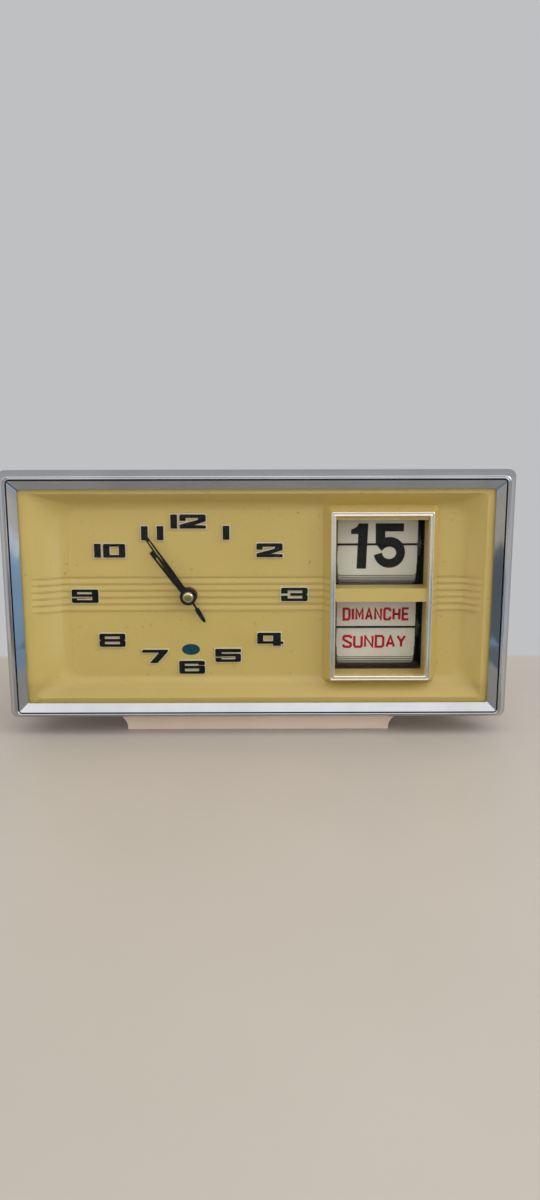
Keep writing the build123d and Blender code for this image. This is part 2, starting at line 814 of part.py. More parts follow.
def star_outline(count, tip, root, phase, lean=0.0):
    points = []
    for k in range(count):
        points.append(beside((0, 0), tip, phase + 360 * k / count))
        points.append(beside((0, 0), root, phase + 360 * (k + 0.5 + lean) / count))
    return Polygon(*points, align=None)


def make_escape_wheel():
    outline = star_outline(escape_teeth, escape_radius, escape_radius * 0.74, escape_bearing)
    crown = slab(Pos(*escape_place) * outline, *escape_level)
    crown -= windows(escape_place, escape_radius * 0.62, 1.3, 0.8, *escape_level)
    leaves = gear(escape_place, train_pinion, fourth_module, escape_pinion_phase,
                  fourth_level[0] - leaf_reach, fourth_level[1] + leaf_reach, True)
    return crown + leaves + spindle(escape_place, thin_arbor, plate_inner_front, back_plate)


nodes["escape_wheel"] = make_escape_wheel()


def anchor(pivot, wheel_place, wheel_radius, count, level, pin_level, arm_width):
    # A bridge from the pivot to two pins that stand just clear of a wheel's teeth,
    # each one and a half teeth off the line between the two.
    away = bearing(wheel_place, pivot)
    reach = wheel_radius + pin_clear + pin_radius
    pin_places = [beside(wheel_place, reach, away + s * 540 / count) for s in (-1, 1)]
    body = disc(pivot, 1.4, *level)
    for place in pin_places:
        length = hypot(place[0] - pivot[0], place[1] - pivot[1])
        middle = ((place[0] + pivot[0]) / 2, (place[1] + pivot[1]) / 2)
        arm = Pos(*middle) * Rot(0, 0, bearing(pivot, place)) * Rectangle(length, arm_width)
        body += slab(arm, *level) + disc(place, arm_width / 2, *level) + disc(place, pin_radius, *pin_level)
    return body


def make_pallet_lever():
    body = anchor(lever_place, escape_place, escape_radius, escape_teeth, lever_level,
                  (lever_level[0], escape_level[1] + 0.2), 0.8)
    tip = balance_reach - 1.2
    fork = Pos(tip / 2, 0) * Rectangle(tip, 0.8) + Pos(tip - 0.8, 0) * Rectangle(1.6, 2.4)
    fork -= Pos(tip, 0) * Rectangle(2.4, 0.9)
    body += slab(Pos(*lever_place) * Rot(0, 0, escape_bearing) * fork, *lever_level)
    return body + spindle(lever_place, thin_arbor, plate_inner_front, back_plate)


def make_balance_wheel():
    rim = disc(balance_place, balance_radius, *balance_level)
    rim -= windows(balance_place, balance_radius - 1.3, 1.8, 1.5, *balance_level)
    roller = disc(balance_place, 2.2, *roller_level)
    pin_place = beside(balance_place, 1.6, escape_bearing + 180)
    impulse = disc(pin_place, 0.25, roller_level[0], lever_level[0] - 0.15)
    return rim + roller + impulse + spindle(balance_place, thin_arbor, plate_inner_front, back_plate)


nodes["pallet_lever"] = make_pallet_lever()
nodes["balance_wheel"] = make_balance_wheel()


def spiral(place, inner, strip, growth, half_turns, level):
    # Half rings joined end to end; each one is growth wider than the one before.
    shape = None
    radius = inner
    middle = 0.0
    for k in range(half_turns):
        ring = Circle(radius + strip) - Circle(radius)
        up = k % 2 == 0
        outer = radius + strip
        half = Pos(0, outer / 2 if up else -outer / 2) * Rectangle(2 * outer, outer)
        piece = Pos(middle, 0) * (ring & half)
        shape = piece if shape is None else shape + piece
        radius += growth
        middle += growth if up else -growth
    return slab(Pos(*place) * shape, *level)


nodes["hairspring"] = spiral(balance_place, thin_arbor, 0.25, 0.45, 7, hairspring_level)


def make_regulator():
    ring = Circle(regulator_bore + 1.4) - Circle(regulator_bore)
    arm = Pos((regulator_bore + regulator_arm) / 2 + 0.4, 0) * Rectangle(regulator_arm - regulator_bore, 1.4)
    start = back_plate + plate_thickness + 0.2
    turned = Pos(*balance_place) * Rot(0, 0, regulator_bearing)
    body = slab(turned * (ring + arm), start, start + 0.8)
    return body + slab(turned * Pos(regulator_arm, 0) * Rectangle(0.8, 1.4), start, case_back + 2.0)


nodes["regulator_lever"] = make_regulator()


# Mainspring barrels, winding arbors, ratchets and clicks
def make_barrel(place, level):
    body = disc(place, barrel_drum, barrel_front, barrel_back)
    body += gear(place, barrel_teeth, barrel_module, 0, *level)
    body -= disc(place, barrel_drum - 1.0, barrel_front + 1.0, barrel_back - 1.0)
    return body - disc(place, winding_radius + running, barrel_front, barrel_back)


def make_mainspring(place):
    outer = disc(place, barrel_drum - 1.1, barrel_front + 1.3, barrel_back - 1.3)
    return outer - disc(place, winding_radius + 3.0, barrel_front + 1.3, barrel_back - 1.3)


def nose_bearing(name):
    # Where the click's nose meets its ratchet, seen from the ratchet's middle.
    return bearing(barrel_places[name], click_places[name]) + click_side[name] * click_lag


def make_winding_arbor(name, place):
    rod = disc(place, winding_radius, plate_inner_front + end_shake, knob_start + key_socket)
    rod += disc(place, centre_arbor_radius, front_plate, plate_inner_front + end_shake)
    rake = click_side[name] * ratchet_rake
    phase = nose_bearing(name) - (0.5 + rake) * 360 / ratchet_teeth
    teeth = star_outline(ratchet_teeth, ratchet_radius, ratchet_radius - ratchet_depth, phase, rake)
    return rod + slab(Pos(*place) * teeth, *ratchet_level)


def make_click(name, place):
    nose = beside(barrel_places[name], ratchet_radius + click_clear, nose_bearing(name))
    length = hypot(nose[0] - place[0], nose[1] - place[1])
    heading = bearing(place, nose)
    # The beak's under side, towards the ratchet, is cut away so that only its tip drops in.
    under = click_side[name]
    edge = [(0, -0.9), (length - 1.6, -1.3), (length, 0), (length - 1.0, 0.1), (0, 0.9)]
    beak = Polygon(*[(x, y * under) for x, y in edge[::under]], align=None)
    body = disc(place, click_hub, *ratchet_level)
    body += slab(Pos(*place) * Rot(0, 0, heading) * beak, *ratchet_level)
    return body - disc(place, click_stud + running, *ratchet_level)


def make_key(place, turn):
    hub = disc(place, key_hub, knob_start, key_end - key_ear * 1.4)
    ears = Rectangle(2 * key_spread, key_web)
    for side in (-1, 1):
        ears += Pos(side * key_spread, 0) * (Circle(key_ear) - Circle(key_ear * 0.45))
    wing = extrude(Plane(origin=(0, key_end - key_ear, 0), x_dir=(1, 0, 0), z_dir=(0, 0, 1)) * ears,
                   amount=key_sheet / 2, both=True)
    wing = Pos(place[0], 0, place[1]) * Rot(0, turn, 0) * wing
    return hub + wing - disc(place, winding_radius, knob_start, knob_start + key_socket)


barrel_places = {"time": time_barrel_place, "alarm": alarm_barrel_place}
click_side = {"time": 1, "alarm": -1}
key_turns = {"time": 20.0, "alarm": -35.0}
tooth_levels = {"time": barrel_teeth_front, "alarm": alarm_teeth_level}
for name, place in barrel_places.items():
    nodes[name + "_barrel"] = make_barrel(place, tooth_levels[name])
    nodes[name + "_mainspring"] = make_mainspring(place)
    nodes[name + "_winding_arbor"] = make_winding_arbor(name, place)
    nodes[name + "_click"] = make_click(name, click_places[name])
    nodes[name + "_winding_key"] = make_key(place, key_turns[name])


# Alarm work: a star wheel rocks the hammer against a cup bell behind the plates
star_phase = hammer_bearing
star_pinion_phase = mesh_phase(alarm_barrel_place, barrel_teeth, 0, star_place, barrel_pinion)
hammer_plane = (back_plate + plate_thickness + 4.0, back_plate + plate_thickness + 5.0)


def make_star_wheel():
    outline = star_outline(star_teeth, star_radius, star_radius * 0.66, star_phase)
    wheel = slab(Pos(*star_place) * outline, *star_level)
    wheel += gear(star_place, barrel_pinion, barrel_module, star_pinion_phase,
                  alarm_teeth_level[0] - leaf_reach, alarm_teeth_level[1] + leaf_reach, True)
    return wheel + spindle(star_place, thin_arbor, plate_inner_front, back_plate)


def hammer_head_place():
    # The head moves straight towards the bell's middle, so its arm stands square to that line.
    span = hypot(bell_place[0] - hammer_place[0], bell_place[1] - hammer_place[1])
    arm = span
    for _ in range(20):
        reach = bell_radius + hammer_head + head_gap + arm * sin(radians(hammer_swing))
        arm = (span * span - reach * reach) ** 0.5
    corner = degrees(asin(arm / span))
    return beside(bell_place, reach, bearing(bell_place, hammer_place) + corner), arm


def make_hammer():
    head_place, arm = hammer_head_place()
    pin_level = (anchor_level[0], star_level[1] + 0.2)
    body = anchor(hammer_place, star_place, star_radius, star_teeth, anchor_level, pin_level, 1.0)
    body += disc(hammer_place, hammer_arbor, plate_inner_front + end_shake, hammer_plane[1])
    body += disc(hammer_place, pivot_radius, front_plate, plate_inner_front + end_shake)
    middle = ((head_place[0] + hammer_place[0]) / 2, (head_place[1] + hammer_place[1]) / 2)
    bar = Pos(*middle) * Rot(0, 0, bearing(hammer_place, head_place)) * Rectangle(arm, 1.2)
    body += slab(bar, *hammer_plane) + disc(hammer_place, 1.8, *hammer_plane)
    return body + disc(head_place, hammer_head, hammer_plane[0] - 1.0, hammer_plane[1] + 2.0)


def make_bell():
    crown = bell_crown
    mouth = crown - bell_depth
    cup = disc(bell_place, bell_radius, mouth, crown)
    cup = chamfer(cup.faces().sort_by(Axis.Y)[-1].edges(), bell_bevel)
    hollow = disc(bell_place, bell_radius - bell_sheet, mouth, crown - bell_sheet)
    hollow = chamfer(hollow.faces().sort_by(Axis.Y)[-1].edges(), bell_bevel - bell_sheet / 2)
    return cup - hollow - disc(bell_place, screw_radius + running, crown - bell_sheet, crown)


nodes["alarm_star_wheel"] = make_star_wheel()
nodes["alarm_hammer"] = make_hammer()
nodes["alarm_bell"] = make_bell()
bell_screw = disc(bell_place, screw_head, bell_crown - bell_sheet - 1.4, bell_crown - bell_sheet)
nodes["bell_screw"] = bell_screw + disc(bell_place, screw_radius, bell_crown - bell_sheet, cover_y - 0.2)


# Back cover with the holes for what is turned from behind
stop_place = (hand_x + stop_aside, dial_z + stop_rise)


def make_back_cover():
    sheet = rounded(cover_width - 2 * cover_gap, cover_height - 2 * cover_gap, cover_corner)
    sheet = slab(sheet, cover_y, case_back)
    width, height = back_opening_width - 2 * cover_gap, back_opening_height - 2 * cover_gap
    rim = slab(rounded(width, height, back_opening_corner), cover_y - cover_thickness, cover_y)
    rim -= slab(rounded(width - 2 * cover_rim, height - 2 * cover_rim, back_opening_corner - cover_rim),
                cover_y - cover_thickness, cover_y)
    sheet += rim + disc(bell_place, 3.2, bell_crown, cover_y)
    sheet -= disc(bell_place, screw_radius, bell_crown, cover_y)
    holes = [(centre, centre_arbor_radius), (alarm_set_place, centre_arbor_radius)]
    holes += [(place, winding_radius) for place in barrel_places.values()]
    for place, radius in holes:
        sheet -= disc(place, radius + cover_hole_gap, cover_y, case_back)
    for place in cover_screw_places:
        sheet -= disc(place, screw_radius + seat_gap, cover_y, case_back)
    sheet -= disc(stop_place, stop_radius + 2 * running, cover_y, case_back)
    slot_length = 2 * (regulator_arm * sin(radians(regulator_swing)) + 1.6)
    slot = Pos(regulator_arm - 0.3, 0) * Rectangle(3.4, slot_length)
    sheet -= slab(Pos(*balance_place) * Rot(0, 0, regulator_bearing) * slot, cover_y, case_back)
    for row in (-3, -2, -1, 1, 2, 3):
        slot = Pos(bell_place[0], bell_place[1] + row * sound_slot_pitch)
        sheet -= slab(slot * Rectangle(bell_radius, sound_slot_height), cover_y, case_back)
    return sheet


def make_cover_screw(place):
    head = disc(place, screw_head, case_back, case_back + screw_head_height)
    head = chamfer(head.faces().sort_by(Axis.Y)[-1].edges(), 0.6)
    slot = Pos(*place) * Rectangle(2 * screw_head, screw_slot)
    slot = slab(slot, case_back + screw_sink, case_back + screw_head_height)
    return head - slot + disc(place, screw_radius, cover_y - cover_screw_reach + 0.5, case_back)


nodes["back_cover"] = make_back_cover()
nodes["cover_screws"] = [make_cover_screw(place) for place in cover_screw_places]
# The button's flange comes up against the cover when the button is pulled right out.
flange_back = cover_y - stop_travel - stop_slack
stop_button = disc(stop_place, stop_radius, flange_back - stop_flange, case_back + stop_length)
nodes["alarm_stop_button"] = stop_button + disc(
    stop_place, stop_radius + stop_flange, flange_back - stop_flange, flange_back)


# Calendar unit: two card drums in a bracket behind the window
def card_profile(x, root_z, up):
    # One card, as seen from the front, hinged at root_z.
    height = card_height - split_gap / 2
    low, high = (root_z + split_gap / 2, root_z + split_gap / 2 + height) if up else (
        root_z - split_gap / 2 - height, root_z - split_gap / 2)
    outline = Pos(x + card_width / 2, (low + high) / 2) * Rectangle(card_width, high - low)
    far = outline.vertices().sort_by(Axis.Y)[-2:] if up else outline.vertices().sort_by(Axis.Y)[:2]
    return fillet(far, card_corner)


def card_stack(line, count, up):
    # Waiting cards. Each is hinged one step further round its drum and hangs or stands behind the last.
    step = 360 / count
    shown = (count - 1) // 2
    y = card_y
    stack = []
    for k in range(shown):
        sink = root_circle * (cos(radians(max(k - 1, 0) * step)) - cos(radians(k * step)))
        y += max(card_pitch, sink)
        lift = root_circle * sin(radians(k * step))
        profile = card_profile(card_left, dial_z + line + (lift if up else -lift), up)
        stack.append(slab(profile, y - card_thickness / 2, y + card_thickness / 2))
    return stack


def falling_card(line):
    z = dial_z + line
    right = card_left + card_width
    front = card_y - card_thickness / 2
    sheet = slab(card_profile(card_left, z, True), front, front + card_thickness)
    sheet += plate(card_left, right, z, z + split_gap, front, front + card_thickness)
    return sheet + rod_x(card_y, z, barrel_radius, card_left, right)


def make_drum(line, count):
    z = dial_z + line
    right = card_left + card_width
    knob_left = case_width / 2 + side_knob_gap
    left = card_left - card_gap - disc_thickness - bracket_gap - bracket_sheet - 0.5
    drum = rod_x(spindle_y, z, spindle_radius, left, knob_left + side_knob_length / 2)
    drum += rod_x(spindle_y, z, drum_core, card_left - card_gap, right + card_gap)
    drum += rod_x(spindle_y, z, drum_radius, card_left - card_gap - disc_thickness, card_left - card_gap)
    drum += rod_x(spindle_y, z, drum_radius, right + card_gap, right + card_gap + disc_thickness)
    index_left = right + card_gap + disc_thickness + bracket_gap + bracket_sheet + 0.8
    wheel_plane = Plane(origin=(index_left, spindle_y, z), z_dir=(1, 0, 0))
    index = extrude(wheel_plane * star_outline(count, index_radius, index_radius - index_depth, 0, 0.3),
                    amount=index_thickness)
    return drum + index


def make_side_knob(line):
    z = dial_z + line
    left = case_width / 2 + side_knob_gap
    base = Plane(origin=(left, spindle_y, z), z_dir=(1, 0, 0))
    count = 24
    outline = star_outline(count, side_knob_radius, side_knob_radius * 0.93, 0)
    body = extrude(base * outline, amount=side_knob_length)
    return body - rod_x(spindle_y, z, spindle_radius, left, left + side_knob_length / 2)


def make_bracket():
    left = card_left - card_gap - disc_thickness - bracket_gap
    right = card_left + card_width + card_gap + disc_thickness + bracket_gap
    low, high = dial_z + window_bottom - bracket_below, dial_z + window_top + bracket_above
    back = bracket_front + bracket_depth
    cheeks = plate(left - bracket_sheet, left, low, high, bracket_front, back)
    cheeks += plate(right, right + bracket_sheet, low, high, bracket_front, back)
    body = cheeks + plate(left - bracket_sheet, right + bracket_sheet, low, high, back, back + bracket_sheet)
    for line in (date_line, day_line):
        body -= rod_x(spindle_y, dial_z + line, spindle_radius + running, left - 5, right + 5)
    for place in calendar_posts:
        outward = place[0] - bracket_tab if place[0] < window_x else place[0] + bracket_tab
        inward = left - bracket_sheet / 2 if place[0] < window_x else right + bracket_sheet / 2
        tab = plate(min(outward, inward), max(outward, inward), place[1] - 3, place[1] + 3,
                    bracket_front, bracket_front + bracket_sheet)
        body += tab - disc(place, 1.1, bracket_front, bracket_front + bracket_sheet)
    return body


nodes["calendar_bracket"] = make_bracket()
bracket_back = bracket_front + bracket_sheet
nodes["calendar_screws"] = [make_panel_screw(place, bracket_back, bracket_sheet + panel_screw_bite)
                            for place in calendar_posts]
for name, line, count in (("date", date_line, date_cards), ("day", day_line, day_cards)):
    nodes[name + "_drum"] = make_drum(line, count)
    nodes[name + "_set_knob"] = make_side_knob(line)
    nodes[name + "_cards"] = card_stack(line, count, True) + card_stack(line, count, False)
    nodes[name + "_falling_card"] = falling_card(line)


for name, shape in nodes.items():
    if isinstance(shape, list):
        shape = Compound(children=shape)
    export_step(shape, f"parts/{name}.step")
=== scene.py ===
# Wind-up alarm clock with a flip date and day calendar beside its dial.
# Sizes in the dictionaries are millimetres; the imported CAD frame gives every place.
import bpy
import bmesh
from math import asin, cos, degrees, pi, radians, sin
from mathutils import Matrix, Vector


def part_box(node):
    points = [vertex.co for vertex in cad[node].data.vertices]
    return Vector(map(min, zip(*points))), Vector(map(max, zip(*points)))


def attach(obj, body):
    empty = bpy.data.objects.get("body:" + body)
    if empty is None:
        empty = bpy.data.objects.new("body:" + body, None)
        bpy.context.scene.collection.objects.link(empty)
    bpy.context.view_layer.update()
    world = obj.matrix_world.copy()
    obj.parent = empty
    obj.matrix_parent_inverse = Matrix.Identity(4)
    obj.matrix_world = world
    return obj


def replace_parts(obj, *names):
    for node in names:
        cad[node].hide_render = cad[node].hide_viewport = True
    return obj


mm = 0.001
dialMiddle = 61.7      # height of the middle of the dial
# hinge lines from the middle of the dial, head of the slit above them, thickness of the sheet
cards = {"dateLine": 20.8, "dayLine": -16.8, "slit": 0.74, "sheet": 0.24}
dialRibs = {"lines": [-6.9, -3.9, -0.9, 2.1, 5.1, 8.1], "pitch": 3.0, "width": 0.5, "height": 0.3}
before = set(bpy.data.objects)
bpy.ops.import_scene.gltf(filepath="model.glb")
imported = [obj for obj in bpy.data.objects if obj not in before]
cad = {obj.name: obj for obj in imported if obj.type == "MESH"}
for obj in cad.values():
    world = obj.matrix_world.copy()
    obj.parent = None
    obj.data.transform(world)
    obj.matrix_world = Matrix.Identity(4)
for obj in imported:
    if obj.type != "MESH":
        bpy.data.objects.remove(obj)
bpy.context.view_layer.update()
print("stage: frame loaded,", len(cad), "nodes")


# Material tools; a link is written (node, output)

def linear(hexColour, alpha=1.0):
    # sRGB hex to the linear colour that a socket wants
    values = [int(hexColour[i:i + 2], 16) / 255 for i in (1, 3, 5)]
    return [v / 12.92 if v <= 0.04045 else ((v + 0.055) / 1.055) ** 2.4 for v in values] + [alpha]


def link(tree, source, node, socket):
    tree.links.new(source[0].outputs[source[1]], node.inputs[socket])


def add(tree, kind, inputs=None, **settings):
    # One node with its settings, values and links
    made = tree.nodes.new(kind)
    for name, value in settings.items():
        setattr(made, name, value)
    for key, value in (inputs or {}).items():
        if isinstance(value, tuple) and isinstance(value[0], bpy.types.Node):
            link(tree, value, made, key)
        else:
            made.inputs[key].default_value = value
    return made


def maths(tree, operation, *operands):
    return add(tree, "ShaderNodeMath", dict(enumerate(operands)), operation=operation), "Value"


def spread(tree, source, start, end, low=0.0, high=1.0, **settings):
    # A value between start and end, moved to between low and high
    return add(tree, "ShaderNodeMapRange", {
        "Value": source, "From Min": start, "From Max": end, "To Min": low, "To Max": high},
        **settings), "Result"


def blend(tree, share, first, second):
    return add(tree, "ShaderNodeMix", {0: share, 6: first, 7: second}, data_type="RGBA"), 2


def noise(tree, source, grain, detail, roughness=0.5):
    # Grain in mm
    return add(tree, "ShaderNodeTexNoise", {
        "Vector": source, "Scale": 1000 / grain, "Detail": detail, "Roughness": roughness}), "Fac"


def objectPlace(tree):
    # The coordinates of a point in its object's own space
    place = add(tree, "ShaderNodeTexCoord")
    parts = add(tree, "ShaderNodeSeparateXYZ", {"Vector": (place, "Object")})
    return (parts, "X"), (parts, "Y"), (parts, "Z")


def newMaterial(name, values):
    # A Principled surface; values fill its sockets
    made = bpy.data.materials.new(name)
    made.use_nodes = True
    tree = made.node_tree
    tree.nodes.clear()
    surface = add(tree, "ShaderNodeBsdfPrincipled", values)
    add(tree, "ShaderNodeOutputMaterial", {"Surface": (surface, "BSDF")})
    return made, tree, surface


def shareSurface(tree, share, surface, other):
    # Another shader takes that share of the surface
    mixed = add(tree, "ShaderNodeMixShader", {"Fac": share, 1: (surface, "BSDF"), 2: other})
    out = next(node for node in tree.nodes if node.type == "OUTPUT_MATERIAL")
    link(tree, (mixed, "Shader"), out, "Surface")


def mottle(tree, surface, colours, grain, amount=1.0, stretch=(1, 1, 1)):
    # Slow colour change over a surface, grain mm across; gives back the mapping and the colour
    place = add(tree, "ShaderNodeTexCoord")
    source = add(tree, "ShaderNodeMapping", {"Vector": (place, "Object"), "Scale": stretch}), "Vector"
    band = add(tree, "ShaderNodeValToRGB", {"Fac": noise(tree, source, grain, 4.0, 0.55)})
    for element, way, colour in zip(band.color_ramp.elements, (-1, 1), colours):
        element.position = 0.5 + way * 0.22 * amount
        element.color = linear(colour)
    link(tree, (band, "Color"), surface, "Base Color")
    return source, (band, "Color")


def roughen(tree, surface, source, grain, low, high, bump=0.0, depth=0.02):
    # Roughness between low and high with a grain of that many mm, and a little relief from it
    speckle = noise(tree, source, grain, 6.0, 0.6)
    link(tree, spread(tree, speckle, 0.3, 0.7, low, high), surface, "Roughness")
    if bump:
        relief = add(tree, "ShaderNodeBump", {"Height": speckle, "Strength": bump, "Distance": depth * mm})
        link(tree, (relief, "Normal"), surface, "Normal")


def plainFinish(name, values, colours, grain, rough, stretch=(1, 1, 1)):
    # Mottled and roughened only; rough gives its grain, low and high, then any relief
    made, tree, surface = newMaterial(name, values)
    source, _ = mottle(tree, surface, colours, grain, 1.0, stretch)
    roughen(tree, surface, source, *rough)
    return made


plastic = {"IOR": 1.59}
satin = {"IOR": 1.59, "Specular IOR Level": 0.4}
metal = {"Metallic": 1.0}
ink = {"IOR": 1.5, "Specular IOR Level": 0.12}
inkRough = (0.5, 0.42, 0.58)

plainFinishes = {
    # Thick moulded case plastic, pinkish cream, matt from handling
    "case": ("mouldedCreamPolystyreneCase", satin, ("#e8d0bf", "#efdccc"), 35, (0.8, 0.38, 0.52, 0.12)),
    # Chromium plate over brass: mirror bright, with light wipe marks along the trim
    "chrome": ("polishedChromePlate", metal, ("#b3b5b8", "#c1c3c6"), 25, (6.0, 0.04, 0.10)),
    # The same plate on the calendar surround, warmer because thin and worn
    "surround": ("wornWarmChromePlate", metal, ("#efe6d6", "#f8f1e6"), 30, (14.0, 0.10, 0.17)),
    # Rolled and turned brass, a little tarnished
    "brass": ("turnedBrass", metal, ("#c39a4c", "#d9b870"), 12, (5.0, 0.15, 0.25)),
    # Polished brass cap over the hands
    "cap": ("polishedPaleBrass", metal, ("#ddc88a", "#eadb9f"), 14, (6.0, 0.08, 0.16)),
    # Bright nickelled steel of keys, knobs and bell
    "nickel": ("nickelPlatedSteel", metal, ("#b9b4a8", "#cbc7bc"), 7, (1.0, 0.14, 0.30)),
    # Plain drawn steel of the movement
    "steel": ("drawnSteel", metal, ("#8f8f8e", "#aaa9a6"), 3, (0.5, 0.26, 0.42), (1, 0.1, 1)),
    # Tempered blue spring steel
    "spring": ("temperedSpringSteel", metal, ("#3f4856", "#5f6a78"), 3, (0.6, 0.2, 0.34)),
    # Blackened sheet steel behind the calendar window
    "blackened": ("blackenedSheetSteel", {"Metallic": 0.6}, ("#15150f", "#26261f"), 6, (0.8, 0.4, 0.6)),
    # Stoved black lacquer on pressed aluminium hands
    "black": ("blackLacqueredAluminium", {"IOR": 1.5, "Specular IOR Level": 0.3}, ("#090807", "#100f0d"),
              5, (0.7, 0.28, 0.42)),
    # Hot-stamped black foil on the raised numerals
    "foil": ("blackHotStampFoil", {"IOR": 1.5, "Specular IOR Level": 0.2}, ("#080706", "#100e0b"),
             3, (0.5, 0.30, 0.48, 0.1, 0.01)),
    # Bare side walls of the numerals and a rim round the black top, paler than the dial
    "numeralEdge": ("paleMouldedNumeralEdge", plastic, ("#c9c0a2", "#d6cdb0"), 4, (0.6, 0.35, 0.5)),
    # Dark moulded styrene of the card drums
    "drum": ("darkMouldedPolystyrene", plastic, ("#1f1e1a", "#2b2a25"), 5, (0.6, 0.35, 0.5)),
    # Screen-printed inks, and the painted shadow and painted shade that lie as thinly
    "blackInk": ("blackScreenInk", ink, ("#121314", "#1a1b1c"), 2, inkRough),
    "redInk": ("redScreenInk", ink, ("#a90f25", "#b9182e"), 2, inkRough),
    "blueInk": ("bluePrintedOval", ink, ("#082c37", "#114655"), 2, inkRough),
    "cardEdgeShadow": ("paintedShadowCardEdge", ink, ("#2e2c26", "#413f37"), 2, inkRough),
    "slitAndGrooveShade": ("blackPaintedShadeInGrooves", ink, ("#0c0c0e", "#17171a"), 2, inkRough),
}

# Moulded polystyrene of the dial with age: satin, unevenly yellowed and specked with dirt; painted shade
# beside its ribs and on the bottom slope, painted highlight on the lands between the ribs and along the
# upright creases
dialDirtAndPaintedLight = {
    "specks": {"colour": "#6d6040", "grain": 2.2, "share": 0.55},
    # painted shade beside a rib, full and gone so far from its middle
    "ribShade": {"colour": "#a18b47", "share": 0.55, "full": 0.3, "gone": 0.75},
    # painted highlight on the lands between the ribs: middle and half height, then middle and half width
    # of both fields
    "lands": {"colour": "#cfb974", "share": 0.35, "band": (0.6, 7.9),
              "fields": ((-32.0, 65.3), (86.0, 10.8))},
    # painted highlight along the upright creases: place, reach over the floor and over the slope, share;
    # they fade up and down
    "creases": {"colour": "#cbb87e", "fade": (20, 37), "crest": 0.4,
                "lines": ((-87.4, 2.4, -8.0, 0.38), (93.2, -2.4, 6.0, 0.3))},
    # painted shade on the bottom slope, which faces up
    "bottomShade": {"colour": "#a38d4c", "share": 0.5, "start": -36, "full": -40},
}


def dialPlastic():
    made, tree, surface = newMaterial("satinMouldedPolystyreneDial", satin)
    source, colour = mottle(tree, surface, ("#b9a25b", "#c1aa65"), 60, 1.2)
    x, _, z = objectPlace(tree)
    specks, ribShade, lands, creases, bottomShade = dialDirtAndPaintedLight.values()

    share = spread(tree, noise(tree, source, specks["grain"], 3.0), 0.69, 0.76, 0.0, specks["share"])
    colour = blend(tree, share, colour, linear(specks["colour"]))

    pitch = dialRibs["pitch"] * mm
    first = (dialMiddle + dialRibs["lines"][0] - dialRibs["pitch"] / 2) * mm
    turn = maths(tree, "FLOORED_MODULO", maths(tree, "SUBTRACT", z, first), pitch)
    away = maths(tree, "ABSOLUTE", maths(tree, "SUBTRACT", turn, pitch / 2))
    # Painted highlight: paler lands between the ribs
    middle, half = lands["band"]
    field = maths(tree, "COMPARE", z, (dialMiddle + middle) * mm, half * mm)
    sides = [maths(tree, "COMPARE", x, place * mm, reach * mm) for place, reach in lands["fields"]]
    field = maths(tree, "MULTIPLY", field, maths(tree, "MAXIMUM", *sides))
    colour = blend(tree, maths(tree, "MULTIPLY", field, lands["share"]), colour, linear(lands["colour"]))
    # Painted shade: darker bands either side of each rib's middle, within the ribbed fields
    share = spread(tree, away, ribShade["full"] * mm, ribShade["gone"] * mm, 1.0, 0.0)
    share = maths(tree, "MULTIPLY", maths(tree, "MULTIPLY", share, field), ribShade["share"])
    colour = blend(tree, share, colour, linear(ribShade["colour"]))

    # Painted highlight: paler strips along the creases where the side slopes meet the floor
    height = maths(tree, "ABSOLUTE", maths(tree, "SUBTRACT", z, dialMiddle * mm))
    start, end = (edge * mm for edge in creases["fade"])
    soft = {"interpolation_type": "SMOOTHSTEP"}
    ends = spread(tree, height, start, end, 1.0, 0.0, **soft)
    for place, inner, outer, strength in creases["lines"]:
        crest = (place + inner * creases["crest"]) * mm
        share = maths(tree, "MULTIPLY", spread(tree, x, (place + outer) * mm, place * mm, **soft),
                      spread(tree, x, (place + inner) * mm, crest, **soft))
        share = maths(tree, "MULTIPLY", maths(tree, "MULTIPLY", share, ends), strength)
        colour = blend(tree, share, colour, linear(creases["colour"]))

    # Painted shade: the dial darker towards the bottom, over the bottom slope
    start, end = ((dialMiddle + bottomShade[edge]) * mm for edge in ("start", "full"))
    share = spread(tree, z, start, end, 0.0, bottomShade["share"])
    link(tree, blend(tree, share, colour, linear(bottomShade["colour"])), surface, "Base Color")
    roughen(tree, surface, source, 1.2, 0.26, 0.36, 0.03)
    return made


# Rigid PVC sheet of the flip cards, with painted shade under each leaf's edge and painted black shade
# along the hinge lines
cardPaintedShade = {"edgeShade": "#85837a", "reach": 1.6, "barrel": "#121214", "barrelHalf": 0.22}


def cardSheet():
    made, tree, surface = newMaterial("mattOffWhiteVinylCard", {"IOR": 1.53, "Specular IOR Level": 0.3})
    source, plain = mottle(tree, surface, ("#cdcbc3", "#d6d4cc"), 9)
    roughen(tree, surface, source, 0.4, 0.48, 0.62, 0.06, 0.01)
    # Painted shade: darker where ambient occlusion finds a leaf's edge close in front
    corner = add(tree, "ShaderNodeAmbientOcclusion", {"Distance": cardPaintedShade["reach"] * mm}, samples=6)
    unshaded = spread(tree, (corner, "AO"), 0.35, 0.95)
    colour = blend(tree, unshaded, linear(cardPaintedShade["edgeShade"]), plain)
    _, _, z = objectPlace(tree)
    # Painted shade: a black band along each hinge line, where the split between the cards lies
    for line in (cards["dateLine"], cards["dayLine"]):
        near = maths(tree, "COMPARE", z, (dialMiddle + line) * mm, cardPaintedShade["barrelHalf"] * mm)
        colour = blend(tree, near, colour, linear(cardPaintedShade["barrel"]))
    link(tree, colour, surface, "Base Color")
    return made


